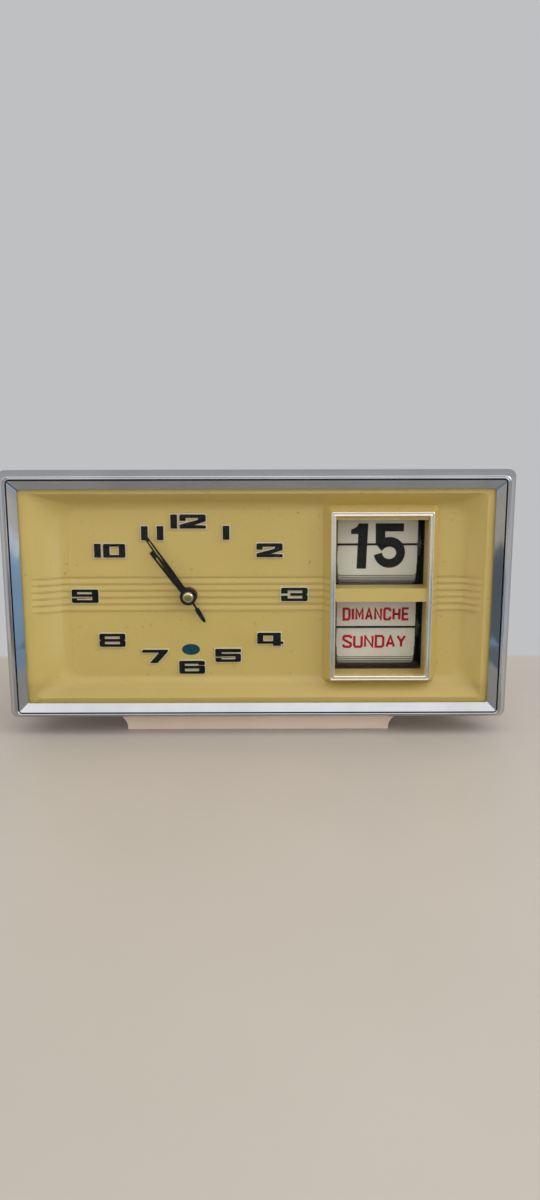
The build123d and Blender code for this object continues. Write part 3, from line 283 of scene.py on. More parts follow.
# Clear acrylic sheet: straight sight through it, the gloss of its faces from a coat
def clearAcrylic():
    made, tree, surface = newMaterial("clearAcrylicSheet", {
        "Base Color": linear("#fdfdfb"), "IOR": 1.02, "Roughness": 0.0, "Transmission Weight": 1.0,
        "Coat Weight": 0.08, "Coat IOR": 1.49, "Coat Roughness": 0.03})
    # It lets the lamps through to the dial
    light = add(tree, "ShaderNodeLightPath")
    passing = maths(tree, "MAXIMUM", (light, "Is Shadow Ray"), (light, "Is Diffuse Ray"))
    clear = add(tree, "ShaderNodeBsdfTransparent", {"Color": linear("#fdfdfb")})
    shareSurface(tree, passing, surface, (clear, "BSDF"))
    return made


finish = {kind: plainFinish(*row) for kind, row in plainFinishes.items()}
finish.update({"dial": dialPlastic(), "card": cardSheet(), "crystal": clearAcrylic()})

finishNodes = {
    "chrome": ["bezel"],
    "crystal": ["crystal"],
    "dial": ["dial_panel"],
    "surround": ["calendar_frame"],
    "case": ["case_shell", "plinth", "back_cover", "date_set_knob", "day_set_knob"],
    "nickel": ["cover_screws", "alarm_bell", "time_set_knob", "alarm_set_knob", "time_winding_key",
               "alarm_winding_key", "alarm_stop_button"],
    "brass": ["front_plate", "back_plate", "pillar_nuts", "hour_wheel", "motion_wheel", "alarm_wheel",
              "fourth_wheel", "third_wheel", "centre_wheel", "time_barrel", "escape_wheel", "pallet_lever",
              "balance_wheel", "alarm_barrel", "alarm_star_wheel"],
    "steel": ["plinth_screws", "pillars", "movement_screws", "bell_screw", "calendar_screws",
              "cannon_pinion", "alarm_set_arbor", "regulator_lever", "time_winding_arbor",
              "alarm_winding_arbor", "time_click", "alarm_click", "alarm_hammer"],
    "spring": ["time_mainspring", "hairspring", "alarm_mainspring"],
    "blackened": ["calendar_bracket"],
    "cap": ["centre_arbor"],
    "black": ["minute_hand", "hour_hand", "alarm_hand"],
    "card": ["date_cards", "day_cards", "date_falling_card", "day_falling_card"],
    "drum": ["date_drum", "day_drum"],
}
for kind, nodes in finishNodes.items():
    for name in nodes:
        for holder in cad[name].material_slots:
            holder.material = finish[kind]
missing = sorted(set(cad) - {name for nodes in finishNodes.values() for name in nodes})
print("stage: finishes set, nodes without one:", missing)


# Smooth shading on the CAD solids whose curves catch the light
smooth = {"angle": 32, "join": 0.002}


def smoothTree():
    # Joined loose triangles, smooth except at edges sharper than the angle
    tree = bpy.data.node_groups.new("smoothByAngle", "GeometryNodeTree")
    for way in ("INPUT", "OUTPUT"):
        tree.interface.new_socket("Geometry", in_out=way, socket_type="NodeSocketGeometry")
    start = add(tree, "NodeGroupInput")
    joined = add(tree, "GeometryNodeMergeByDistance", {
        "Geometry": (start, "Geometry"), "Distance": smooth["join"] * mm})
    edge = add(tree, "GeometryNodeInputMeshEdgeAngle")
    sharp = add(tree, "FunctionNodeCompare", {0: (edge, "Unsigned Angle"), 1: radians(smooth["angle"])},
                data_type="FLOAT", operation="GREATER_THAN")
    flat = add(tree, "FunctionNodeBooleanMath", {0: (sharp, "Result")}, operation="NOT")
    faces = add(tree, "GeometryNodeSetShadeSmooth", {
        "Geometry": (joined, "Geometry"), "Shade Smooth": True}, domain="FACE")
    edges = add(tree, "GeometryNodeSetShadeSmooth", {
        "Geometry": (faces, "Geometry"), "Shade Smooth": (flat, "Boolean")}, domain="EDGE")
    add(tree, "NodeGroupOutput", {"Geometry": (edges, "Geometry")})
    return tree


smoothing = smoothTree()
for holder in cad.values():
    holder.modifiers.new("smoothByAngle", "NODES").node_group = smoothing
print("stage: solids smoothed")


# Mesh tools

def newObject(name, data):
    made = bpy.data.objects.new(name, data)
    bpy.context.scene.collection.objects.link(made)
    return made


def meshPiece(name, mesh, kind, body):
    # From one mesh, or from a list of meshes that are joined here
    mesh = joinMeshes(name, mesh) if isinstance(mesh, list) else mesh
    piece = newObject(name, mesh)
    if not mesh.materials:
        mesh.materials.append(finish[kind])
    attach(piece, body)
    return piece


def evaluated(holder):
    # What an object comes to, in place of the object
    mesh = bpy.data.meshes.new_from_object(holder.evaluated_get(bpy.context.evaluated_depsgraph_get()))
    bpy.data.objects.remove(holder)
    return mesh


def weave(whole, rows, closed):
    # Smooth faces between rows of corners; closed rows join their own ends
    for row, following in zip(rows, rows[1:]):
        for i in range(len(row) if closed else len(row) - 1):
            j = (i + 1) % len(row)
            corners = [row[i], row[j], following[j], following[i]]
            whole.faces.new([v for k, v in enumerate(corners) if v not in corners[:k]]).smooth = True
    bmesh.ops.recalc_face_normals(whole, faces=whole.faces)


def meshFrom(name, whole, sharp=None):
    # A mesh of what was built, with creases past that many degrees
    mesh = bpy.data.meshes.new(name)
    whole.to_mesh(mesh)
    whole.free()
    if sharp:
        mesh.set_sharp_from_angle(angle=radians(sharp))
    return mesh


def facing(x, y, z):
    # From a drawing's plane (right, up) to the front of the clock at that place
    return Matrix.Translation(Vector((x, y, z)) * mm) @ Matrix.Rotation(pi / 2, 4, "X")


def fromOutlines(outlines, depth, bevel=0.0, grow=0.0):
    # A flat drawing of closed outlines, holes by overlap, as a mesh with its back on z = 0
    curve = bpy.data.curves.new("drawing", "CURVE")
    curve.dimensions = "2D"
    curve.fill_mode = "BOTH"
    curve.extrude = depth * mm / 2 - bevel * mm
    curve.bevel_depth = bevel * mm
    curve.bevel_resolution = 1
    curve.offset = (grow - bevel) * mm
    for outline in outlines:
        spline = curve.splines.new("POLY")
        spline.points.add(len(outline) - 1)
        for point, (x, z) in zip(spline.points, outline):
            point.co = (x * mm, z * mm, 0, 1)
        spline.use_cyclic_u = True
    mesh = evaluated(newObject("drawing", curve))
    bpy.data.curves.remove(curve)
    mesh.transform(Matrix.Translation((0, 0, depth * mm / 2)))
    return mesh


def drawn(outlines, depth, x, y, z, bevel=0.0, grow=0.0):
    # A drawing stood up on the front of the clock, z from the dial's middle
    mesh = fromOutlines(outlines, depth, bevel, grow)
    mesh.transform(facing(x, y, dialMiddle + z))
    return mesh


def joinMeshes(name, meshes):
    whole = bmesh.new()
    for mesh in meshes:
        whole.from_mesh(mesh)
        bpy.data.meshes.remove(mesh)
    bmesh.ops.remove_doubles(whole, verts=whole.verts, dist=0.001 * mm)
    bmesh.ops.recalc_face_normals(whole, faces=whole.faces)
    return meshFrom(name, whole)


def box(left, bottom, right, top):
    return [(left, bottom), (right, bottom), (right, top), (left, top)]


def arc(cx, cz, rx, rz, start, end, steps):
    return [(cx + rx * cos(radians(start + (end - start) * i / steps)),
             cz + rz * sin(radians(start + (end - start) * i / steps))) for i in range(steps + 1)]


def softBox(left, bottom, right, top, corner, steps):
    points = []
    for cx, cz, start in ((right - corner, bottom + corner, -90), (right - corner, top - corner, 0),
                          (left + corner, top - corner, 90), (left + corner, bottom + corner, 180)):
        points += arc(cx, cz, corner, corner, start, start + 90, steps)
    return points


# Numerals: wide square figures moulded on the floor of the dial, black on top with pale edges
figures = {
    "1": [box(0, 0, 2.9, 6.1)],
    "2": [[(0, 0), (11.4, 0), (11.4, 1.35), (6.3, 1.5), (11.4, 3.1), (11.4, 5.5), (10.8, 6.1), (0.5, 6.1),
           (0, 5.6), (0, 3.3), (2.7, 3.3), (2.7, 4.6), (8.0, 4.6), (8.0, 3.8), (0, 1.7)]],
    "3": [[(0.5, 0), (11.2, 0), (11.7, 0.5), (11.7, 2.4), (11.2, 3.0), (11.7, 3.6), (11.7, 5.5),
           (11.1, 6.0), (0.5, 6.0), (0, 5.5), (0, 3.45), (2.95, 3.45), (2.95, 4.75), (9.3, 4.75),
           (9.3, 3.65), (4.0, 3.65), (4.0, 2.4), (9.3, 2.4), (9.3, 1.25), (2.95, 1.25), (2.95, 2.5),
           (0, 2.5), (0, 0.5)]],
    "4": [[(0, 1.0), (7.0, 1.0), (7.0, 0), (10.5, 0), (10.5, 0.9), (11.6, 0.9), (11.6, 2.0), (10.5, 2.0),
           (10.5, 6.0), (0.5, 6.0), (0, 5.5)], box(2.7, 2.2, 7.0, 4.7)],
    "5": [[(0.6, 0), (10.8, 0), (11.4, 0.6), (11.4, 3.3), (10.9, 3.8), (2.8, 3.8), (2.8, 4.45),
           (11.4, 4.45), (11.4, 6.0), (0, 6.0), (0, 2.55), (8.9, 2.55), (8.9, 1.25), (2.8, 1.25),
           (2.8, 2.0), (0, 2.0), (0, 0.6)]],
    "6": [[(0.6, 0), (10.9, 0), (11.5, 0.6), (11.5, 3.2), (11.0, 3.7), (2.5, 3.7), (2.5, 4.6), (8.7, 4.6),
           (8.7, 4.1), (11.5, 4.1), (11.5, 5.4), (10.9, 6.0), (0.5, 6.0), (0, 5.5), (0, 0.6)],
          box(2.5, 1.2, 8.8, 2.4)],
    "7": [[(0, 6.1), (0, 4.75), (7.4, 4.75), (3.2, 0), (6.7, 0), (11.4, 5.2), (11.4, 6.1)]],
    "8": [[(0.5, 0), (11.0, 0), (11.5, 0.5), (11.5, 2.6), (10.9, 3.0), (11.5, 3.4), (11.5, 5.5),
           (11.0, 6.0), (0.5, 6.0), (0, 5.5), (0, 3.4), (0.6, 3.0), (0, 2.6), (0, 0.5)],
          box(2.4, 1.25, 9.0, 2.35), box(2.4, 3.65, 9.0, 4.75)],
    "9": [[(0.4, 0), (11.2, 0), (11.7, 0.5), (11.7, 5.5), (11.2, 6.0), (0.5, 6.0), (0, 5.5), (0, 2.75),
           (8.9, 2.75), (8.9, 1.3), (2.3, 1.3), (2.3, 2.15), (0, 2.15), (0, 0.4)],
          box(2.4, 3.9, 8.8, 4.8)],
    "0": [softBox(0, 0, 9.6, 6.0, 0.6, 3), box(2.8, 1.2, 6.8, 4.8)],
}
numerals = {
    "places": {"12": (-29.7, 32.4), "1": (-13.4, 27.5), "2": (5.35, 19.8), "3": (16.2, 0.3),
               "4": (5.6, -19.9), "5": (-13.1, -27.2), "6": (-29.2, -32.6), "7": (-45.5, -27.6),
               "8": (-64.2, -20.15), "9": (-75.45, -0.24), "10": (-63.95, 19.8), "11": (-45.3, 27.4)},
    "gaps": {"12": 1.0, "10": 1.0, "11": 3.9},
    "middle": 3.0,          # half the height of a figure
    "baseHeight": 0.55,     # the pale moulding
    "topHeight": 0.35,      # the black top
    "bevel": 0.1,
    "edge": 0.38,           # how far the pale edge stands out round the black
    "bite": 0.02,           # how deep each layer sits in the one below
}


def surfaceAt(name, x, z):
    # How deep a CAD solid's surface lies behind a point of the face
    found, place, *_ = cad[name].ray_cast(Vector((x * mm, -0.2, z * mm)), Vector((0, 1, 0)))
    return place.y / mm


dialFloor = surfaceAt("dial_panel", -13.0, dialMiddle + 15)
print("stage: dial floor at", round(dialFloor, 2))


def figureOutlines(text):
    # Of one or two figures, about their middle
    widths = [max(x for x, _ in figures[character][0]) for character in text]
    gap = numerals["gaps"].get(text, 0)
    left = -(sum(widths) + gap) / 2
    outlines = []
    for character, own in zip(text, widths):
        for shape in figures[character]:
            outlines.append([(left + x, z - numerals["middle"]) for x, z in shape])
        left += own + gap
    return outlines


def makeNumerals():
    tops, bases = [], []
    floor, base = dialFloor + numerals["bite"], numerals["baseHeight"]
    for text, (x, z) in numerals["places"].items():
        outlines = figureOutlines(text)
        bases.append(drawn(outlines, base, x, floor, z, 0.0, numerals["edge"]))
        tops.append(drawn(outlines, numerals["topHeight"], x, floor - base, z, numerals["bevel"]))
    meshPiece("numeral_edges", bases, "numeralEdge", "clock")
    meshPiece("numerals", tops, "foil", "clock")


makeNumerals()


# Closed frames: a ring is out at the sides, out at top and bottom, corner radius and depth
def ringPoints(opening, ring, steps):
    (x, z, wide, high), (side, top, corner, depth) = opening, ring
    width, height = wide / 2 + side, high / 2 + top
    outline = softBox(x - width, z - height, x + width, z + height, corner, steps)
    return [Vector((px, depth, pz)) * mm for px, pz in outline]


def ringMesh(name, shape, rings, sharp, kinds, lined=()):
    # The strips from the lined rings to the next ones take the second, dark finish, which is painted shade
    whole = bmesh.new()
    loops = [[whole.verts.new(point) for point in ringPoints(shape["opening"], ring, shape["cornerSteps"])]
             for ring in rings]
    weave(whole, loops + loops[:1], True)
    for i, face in enumerate(whole.faces):
        face.material_index = int(i // len(loops[0]) in lined)
    mesh = meshFrom(name, whole, sharp)
    for kind in kinds:
        mesh.materials.append(finish[kind])
    return mesh


def halfRound(middle, half, rise, floor, steps):
    # Over a rounded bar: how far out, and the depth there
    turns = [pi * i / steps for i in range(steps + 1)]
    return [(middle - half * cos(turn), floor - rise * sin(turn)) for turn in turns]


# Bezel: pressed trim with a bevel to the opening, a fine bead and a curved outer band
bezel = {
    "opening": (0.0, dialMiddle, 202.0, 93.8),
    "front": [(0, 0, 0.9, -29.0), (3.6, 3.6, 1.1, -30.85), (3.63, 3.63, 1.2, -30.4),
              (4.1, 4.1, 1.4, -30.4)],
    "bead": {"start": 4.12, "radius": 0.4, "corner": 1.9, "depth": -30.9, "steps": 12},
    # each of the band's pairs runs from its inner to its outer edge
    "band": {"side": (4.98, 9.0), "top": (4.98, 7.8), "corner": (2.6, 3.2)},
    "bandFront": -30.95, "bandBulge": 6.25,
    # along the band: share of the way out, share of the way back
    "path": [(0, 0), (0.06, 0.0), (0.12, 0.012), (0.17, 0.03), (0.21, 0.06), (0.24, 0.1), (0.5, 0.44),
             (0.84, 0.86), (0.9, 0.9), (0.95, 0.94), (0.98, 0.97), (1.0, 1.0)],
    "back": [(8.95, 7.75, 3.4, -20.5), (8.7, 7.5, 3.8, -17.0), (6.1, 4.9, 3.4, -17.0),
             (6.1, 4.9, 3.4, -21.0), (2.4, 2.4, 1.6, -21.0), (2.4, 2.4, 1.6, -28.88), (0, 0, 0.9, -28.88)],
    "cornerSteps": 12,
}


def bezelRings():
    rings = list(bezel["front"])
    start, radius, corner, floor, steps = bezel["bead"].values()
    for out, depth in halfRound(start + radius, radius, radius, floor, steps):
        rings.append((out, out, corner + out - start, depth))
    for out, back in bezel["path"]:
        edges = [inner + (outer - inner) * out for inner, outer in bezel["band"].values()]
        rings.append((*edges, bezel["bandFront"] + bezel["bandBulge"] * back))
    return rings + bezel["back"]


# Calendar surround: a half-round inner bar, a groove and a fine outer bead
surround = {
    "opening": (53.7, dialMiddle - 0.2, 39.4, 69.6), "cornerSteps": 5,
    # middle, half width and height of each rounded bar, and the groove's depth between them
    "bars": [(0.79, 0.59, 0.58), (2.01, 0.39, 0.5)], "groove": -26.92, "barSteps": 12,
    "inner": 0.2, "outer": 2.4, "back": -26.3,
    # the moulded lip under the window's upper edge
    "lip": {"outline": box(33.9, 33.3, 73.5, 34.8), "front": -25.6, "depth": 1.6, "bevel": 0.2},
}


def surroundRings():
    rings = [(surround["inner"], surround["back"])]
    for middle, half, rise in surround["bars"]:
        rings += halfRound(middle, half, rise, surround["groove"], surround["barSteps"])
    rings.append((surround["outer"], surround["back"]))
    return [(out, out, 0.25 + 0.3 * out, depth) for out, depth in rings]


def makeFrames():
    # Painted shade: the groove between the bevel and the bead is dark
    mesh = ringMesh("bezelTrim", bezel, bezelRings(), 20, ("chrome", "slitAndGrooveShade"), (1, 2, 3))
    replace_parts(meshPiece("bezel_trim", mesh, "chrome", "clock"), "bezel")
    mesh = ringMesh("calendarSurround", surround, surroundRings(), 30, ("surround",))
    piece = meshPiece("calendar_surround", mesh, "surround", "clock")
    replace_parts(piece, "calendar_frame")
    lip = surround["lip"]
    mesh = drawn([lip["outline"]], lip["depth"], 0, lip["front"] + lip["depth"], 0, lip["bevel"])
    meshPiece("window_lip", [mesh], "dial", "clock")


makeFrames()
print("stage: bezel and calendar surround")


# Soft coves where the dial's slopes meet its floor; the ribs run on over them
coves = {
    "floor": (-85.0, 90.5, -38.3, 39.4), "corner": 8.0, "cornerSteps": 12,
    "reach": {"left": 3.2, "right": 2.6, "bottom": 2.2, "top": 2.2},
    "steps": 10, "skin": 0.015, "sharp": 40,
    "ribFlank": 0.03,       # how fast a rib rises to its full height
    "plainHeight": 20.0,    # where the upright slopes have no rib
}


def coveOutline():
    # Places on the floor's outline: x, z, way out, and how far a rib lifts it
    left, right, bottom, top = coves["floor"]
    corner, steps = coves["corner"], coves["cornerSteps"]
    half, flank = dialRibs["width"] / 2, coves["ribFlank"]
    places = []
    for x, z, start in ((right, bottom, -90), (right, top, 0), (left, top, 90), (left, bottom, 180)):
        cx = x - corner if x > 0 else x + corner
        cz = z - corner if z > 0 else z + corner
        for i in range(steps + 1):
            turn = radians(start + 90 / steps * i)
            places.append((cx + corner * cos(turn), cz + corner * sin(turn), cos(turn), sin(turn), 0.0))
        if start in (-90, 90):
            way = 1 if start == -90 else -1
            for rib in dialRibs["lines"][::way]:
                for step, lift in ((-half, 0.0), (flank - half, 1.0), (half - flank, 1.0), (half, 0.0)):
                    places.append((x, rib + way * step, way, 0.0, lift))
    return places


def makeCoves():
    reach, steps = coves["reach"], coves["steps"]
    whole = bmesh.new()
    rows = []
    for x, z, outX, outZ, lift in coveOutline():
        side, end = reach["right" if outX > 0 else "left"], reach["top" if outZ > 0 else "bottom"]
        span = side * outX ** 2 + end * outZ ** 2
        castZ = z if abs(outX) < 1 else coves["plainHeight"]
        slope = surfaceAt("dial_panel", x + outX * span, dialMiddle + castZ + outZ * span)
        row = []
        for i in range(steps + 1):
            t = i / steps
            along = span * (1 - t) ** 2 - span * t ** 2
            depth = slope * (1 - t) ** 2 + dialFloor * (1 - (1 - t) ** 2)
            depth -= coves["skin"] + lift * dialRibs["height"]
            place = Vector((x + outX * along, depth, dialMiddle + z + outZ * along))
            row.append(whole.verts.new(place * mm))
        rows.append(row)
    weave(whole, rows + rows[:1], False)
    if whole.faces[0].normal.y > 0:
        bmesh.ops.reverse_faces(whole, faces=whole.faces)
    meshPiece("dial_coves", meshFrom("dialCoves", whole, coves["sharp"]), "dial", "clock")


makeCoves()
print("stage: dial coves")


# A plain blue oval above the six, printed flat on the floor
oval = {"place": (-29.6, -24.6), "width": 8.0, "height": 5.0, "ink": 0.04, "lift": 0.01}


def makeOval():
    ring = arc(0, 0, oval["width"] / 2, oval["height"] / 2, 0, 354, 59)
    mesh = drawn([ring], oval["ink"], oval["place"][0], dialFloor + oval["lift"], oval["place"][1])
    meshPiece("printed_oval", [mesh], "blueInk", "clock")


makeOval()
print("stage: numerals and oval")


# Printing on the flip cards
printing = {
    "ink": 0.03, "stroke": 1.1,
    "bold": 0.3, "shift": 0.55,                 # of the date figures: fatter all round, and to the right
    "upperWord": (38.15, 30.3, -13.6, 6.1),     # left, width, foot, height from the dial's middle
    "lowerWord": (38.25, 28.9, -26.35, 6.1),
    # between the middles of a letter's outer strokes, and between two letters
    "letter": 2.75, "narrow": {"I": 0.0, "M": 3.0, "L": 2.4}, "gap": 1.55,
    "margin": 0.01,                             # kept past a letter's foot and head where it is trimmed
}

# Bold date figures, placed from the dial's middle; the second one of a pair is a ring with a stem
figureOne = [[(48.15, 30.1), (44.45, 30.1), (43.9, 29.1), (42.9, 28.2), (41.2, 27.45), (41.2, 26.0),
              (44.4, 26.0), (43.9, 10.4), (47.5, 10.4)]]
figureFive = [[(52.0, 30.1), (63.95, 30.1), (63.95, 27.1), (55.65, 27.1), (55.85, 23.6)]
              + arc(58.1, 17.4, 6.65, 6.65, 108, -168, 40) + arc(58.0, 17.2, 3.4, 3.05, -175, 130, 30)
              + [(54.6, 18.5), (52.2, 21.3)]]
figureSix = [[(59.6, 30.1), (55.2, 30.1)] + arc(58.1, 17.05, 6.65, 6.65, 152, 450, 40),
             arc(58.1, 17.0, 3.2, 3.1, 0, 354, 29)]

# Letters as the middle lines of their strokes, one wide and one high
letters = {
    "D": ([(0, 0), (0, 1), (0.78, 1), (1, 0.86), (1, 0.14), (0.78, 0), (0, 0)],),
    "I": ([(0, 0), (0, 1)],),
    "M": ([(0, 0), (0, 1), (0.5, 0.3), (1, 1), (1, 0)],),
    "A": ([(0, 0), (0.5, 1), (1, 0)], [(0.2, 0.3), (0.8, 0.3)]),
    "N": ([(0, 0), (0, 1), (1, 0), (1, 1)],),
    "C": ([(1, 0.74), (1, 0.88), (0.86, 1), (0.14, 1), (0, 0.88), (0, 0.12), (0.14, 0), (0.86, 0),
           (1, 0.12), (1, 0.26)],),
    "H": ([(0, 0), (0, 1)], [(1, 0), (1, 1)], [(0, 0.5), (1, 0.5)]),
    "E": ([(1, 1), (0, 1), (0, 0), (1, 0)], [(0, 0.5), (0.9, 0.5)]),
    "S": ([(1, 0.78), (1, 0.9), (0.86, 1), (0.14, 1), (0, 0.9), (0, 0.68), (1, 0.3), (1, 0.1), (0.86, 0),
           (0.14, 0), (0, 0.1), (0, 0.22)],),
    "U": ([(0, 1), (0, 0.12), (0.14, 0), (0.86, 0), (1, 0.12), (1, 1)],),
    "Y": ([(0, 1), (0.5, 0.48), (1, 1)], [(0.5, 0.48), (0.5, 0)]),
    "L": ([(0, 1), (0, 0), (1, 0)],),
    "O": ([(0.14, 0), (0, 0.12), (0, 0.88), (0.14, 1), (0.86, 1), (1, 0.88), (1, 0.12), (0.86, 0),
           (0.14, 0)],),
}


def ribbon(points, width):
    # The outlines of a stroke of even width along a line, mitred at its corners
    path = [Vector(p) for p in points]
    closed = (path[0] - path[-1]).length < 1e-6
    if closed:
        path = path[:-1]
    count = len(path)
    left, right = [], []
    for i, point in enumerate(path):
        before = path[i - 1] if closed or i else None
        after = path[(i + 1) % count] if closed or i < count - 1 else None
        coming = (point - before).normalized() if before is not None else (after - point).normalized()
        going = (after - point).normalized() if after is not None else coming
        across = Vector((-coming.y - going.y, coming.x + going.x)).normalized()
        mitre = max(across.dot(Vector((-coming.y, coming.x))), 0.3)
        reach = min(width / 2 / mitre, width * 1.1)
        left.append(point + across * reach)
        right.append(point - across * reach)
    return [left, right] if closed else [left + right[::-1]]


def cutAt(mesh, line, keepAbove):
    # Only the part of a drawing above or below a height
    whole = bmesh.new()
    whole.from_mesh(mesh)
    bmesh.ops.remove_doubles(whole, verts=whole.verts, dist=0.0005 * mm)
    everything = whole.verts[:] + whole.edges[:] + whole.faces[:]
    bmesh.ops.bisect_plane(whole, geom=everything, plane_co=(0, line * mm, 0), plane_no=(0, 1, 0),
                           clear_inner=keepAbove, clear_outer=not keepAbove)
    bmesh.ops.holes_fill(whole, edges=[edge for edge in whole.edges if edge.is_boundary])
    whole.to_mesh(mesh)
    whole.free()
    return mesh


def wordMeshes(word, left, width, foot, height):
    # Stroke letters spread over the width, with feet on the line
    stroke, gap, margin = printing["stroke"], printing["gap"], printing["margin"]
    widths = [printing["narrow"].get(character, printing["letter"]) for character in word]
    scale = (width - stroke - (len(word) - 1) * gap) / sum(widths)
    x = left + stroke / 2
    meshes = []
    for character, own in zip(word, widths):
        for line in letters[character]:
            points = [(x + px * own * scale, foot + stroke / 2 + pz * (height - stroke))
                      for px, pz in line]
            mesh = fromOutlines(ribbon(points, stroke), printing["ink"])
            meshes.append(cutAt(cutAt(mesh, foot - margin, True), foot + height + margin, False))
        x += own * scale + gap
    return meshes


def halfDate(drawings, keepAbove):
    # The half of a date's figures above or below the hinge line
    meshes = []
    for drawing in drawings:
        outlines = [[(x + printing["shift"], z) for x, z in outline] for outline in drawing]
        mesh = fromOutlines(outlines, printing["ink"], 0.0, printing["bold"])
        meshes.append(cutAt(mesh, cards["dateLine"], keepAbove))
    return meshes


standingFront = surfaceAt("date_falling_card", 50, dialMiddle + 25)
waitingFront = surfaceAt("date_cards", 50, dialMiddle + 15)


def makePrinting():
    # Each card has its upper half on the front of the standing leaf, and the next one's lower half on
    # the back, turned over the hinge line; the waiting leaves carry the halves seen before and after
    upper, lower = printing["upperWord"], printing["lowerWord"]
    shown, following = [figureOne, figureFive], [figureOne, figureSix]
    halves = (
        ("date", "dateLine", halfDate(shown, True), halfDate(shown, False), "blackInk",
         halfDate(following, True), halfDate(following, False)),
        ("day", "dayLine", wordMeshes("DIMANCHE", *upper), wordMeshes("SUNDAY", *lower), "redInk",
         wordMeshes("LUNDI", *upper), wordMeshes("MONDAY", *lower)),
    )
    front = facing(0, standingFront, dialMiddle)
    waiting = facing(0, waitingFront, dialMiddle)
    for unit, line, top, bottom, kind, nextTop, nextBottom in halves:
        hinge = Vector((0, standingFront + cards["sheet"] / 2, dialMiddle + cards[line])) * mm
        back = Matrix.Translation(hinge) @ Matrix.Rotation(-pi, 4, "X")
        back = back @ Matrix.Translation(-hinge) @ front
        leaf = unit + "_falling_card"
        for name, meshes, place, tint, body in (("upper", top, front, kind, leaf),
                                                ("lower", bottom, waiting, kind, "clock"),
                                                ("next_upper", nextTop, waiting, "blackInk", "clock"),
                                                ("next_lower", nextBottom, back, "blackInk", leaf)):
            for mesh in meshes:
                mesh.transform(place)
            name = unit + "_print_" + name
            meshPiece(name, meshes, tint, body)


makePrinting()


# Painted shadow along the cut edges of the waiting cards, which step down behind each other, and painted
# shade in the slit at the hinge
cardEdges = {"left": 35.5, "right": 71.0, "height": 13.65, "corner": 1.5, "cornerSteps": 8, "line": 0.22,
             "drum": 4.5, "pitch": 0.32, "shown": 6, "dateStep": 360 / 31, "dayStep": 360 / 28,
             "gap": 0.15, "rise": 5.0, "ink": 0.02, "lift": 0.005,
             # the slit: its foot above the hinge line, and how far it stands off the leaf
             "slitFoot": 0.02, "slitLift": 0.035}


def edgeShadowLines(line, step):
    # The U-shaped painted shadow lines along the card edges on one drum, from the front one back
    left, right, corner = cardEdges["left"], cardEdges["right"], cardEdges["corner"]
    half, steps = cardEdges["line"] / 2, cardEdges["cornerSteps"]
    depth = waitingFront
    meshes = []
    for k in range(cardEdges["shown"]):
        drop = cardEdges["drum"] * sin(radians(k * step))
        foot = line - cardEdges["gap"] - drop - cardEdges["height"]
        inner = corner - half
        points = [(left + half, foot + cardEdges["rise"])]
        points += arc(left + corner, foot + corner, inner, inner, 180, 270, steps)
        points += arc(right - corner, foot + corner, inner, inner, 270, 360, steps)
        points.append((right - half, foot + cardEdges["rise"]))
        outlines = ribbon(points, cardEdges["line"])
        meshes.append(drawn(outlines, cardEdges["ink"], 0, depth - cardEdges["lift"], 0))
        sink = cos(radians(k * step)) - cos(radians((k + 1) * step))
        depth += max(cardEdges["pitch"], cardEdges["drum"] * sink)
    return meshes


def makeCardLines():
    edges, slits = [], []
    for unit in ("date", "day"):
        line = cards[unit + "Line"]
        edges += edgeShadowLines(line, cardEdges[unit + "Step"])
        foot, head = line + cardEdges["slitFoot"], line + cards["slit"]
        strip = box(cardEdges["left"], foot, cardEdges["right"], head)
        slits.append(drawn([strip], cardEdges["ink"], 0, standingFront - cardEdges["slitLift"], 0))
    # Painted shadow: dark lines along the waiting cards' edges
    meshPiece("card_edge_shadows", edges, "cardEdgeShadow", "clock")
    # Painted shade: a dark strip in the slit above each hinge
    meshPiece("card_slit_shades", slits, "slitAndGrooveShade", "clock")


makeCardLines()
print("stage: printed cards")


# Hands: pressed sheet with rolled edges and open slots, lacquered black
hands = {
    "edge": 0.11, "boss": 3.6, "steps": 40,
    # blade: half width and height up one side, from the boss to the tip; slot: half width and height
    "minute_hand": {"angle": 123.9, "hole": 2.35, "blade": [(1.35, 14.6), (0.8, 31.9), (0.5, 32.3)],
                    "slot": [(0.26, 12.4), (0.2, 29.4)]},
    "hour_hand": {"angle": 128.2, "hole": 2.9, "blade": [(1.5, 11.4), (1.15, 24.9), (0.9, 25.2)],
                  "slot": [(0.4, 11.6), (0.36, 21.7)]},
    "alarm_hand": {"angle": -59.3, "hole": 3.45, "slot": [],
                   "blade": [(0.46, 6.4), (1.05, 6.9), (0.85, 12.4), (0.4, 13.6)]},
}


def bothSides(side):
    # The outline of an upright form from its right side, foot first
    return side + [(-wide, high) for wide, high in side[::-1]]


def makeHands():
    low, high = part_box("centre_arbor")
    x, z = (low[0] + high[0]) / 2, (low[2] + high[2]) / 2
    boss, steps = hands["boss"], hands["steps"]
    for name in ("minute_hand", "hour_hand", "alarm_hand"):
        shape = hands[name]
        # The boss's arc stops where the blade leaves it
        gap = degrees(asin(shape["blade"][0][0] / boss))
        outlines = [arc(0, 0, boss, boss, 90 + gap, 450 - gap, steps) + bothSides(shape["blade"]),
                    arc(0, 0, shape["hole"], shape["hole"], 0, 360 - 360 / steps, steps - 1)]
        if shape["slot"]:
            outlines.append(bothSides(shape["slot"]))
        low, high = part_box(name)
        mesh = fromOutlines(outlines, (high[1] - low[1]) / mm, hands["edge"])
        mesh.transform(Matrix.Translation((x, high[1], z)) @ Matrix.Rotation(pi / 2, 4, "X")
                       @ Matrix.Rotation(radians(shape["angle"] - 90), 4, "Z"))
        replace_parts(meshPiece(name + "_blade", [mesh], "black", name), name)


makeHands()
print("stage: hands")


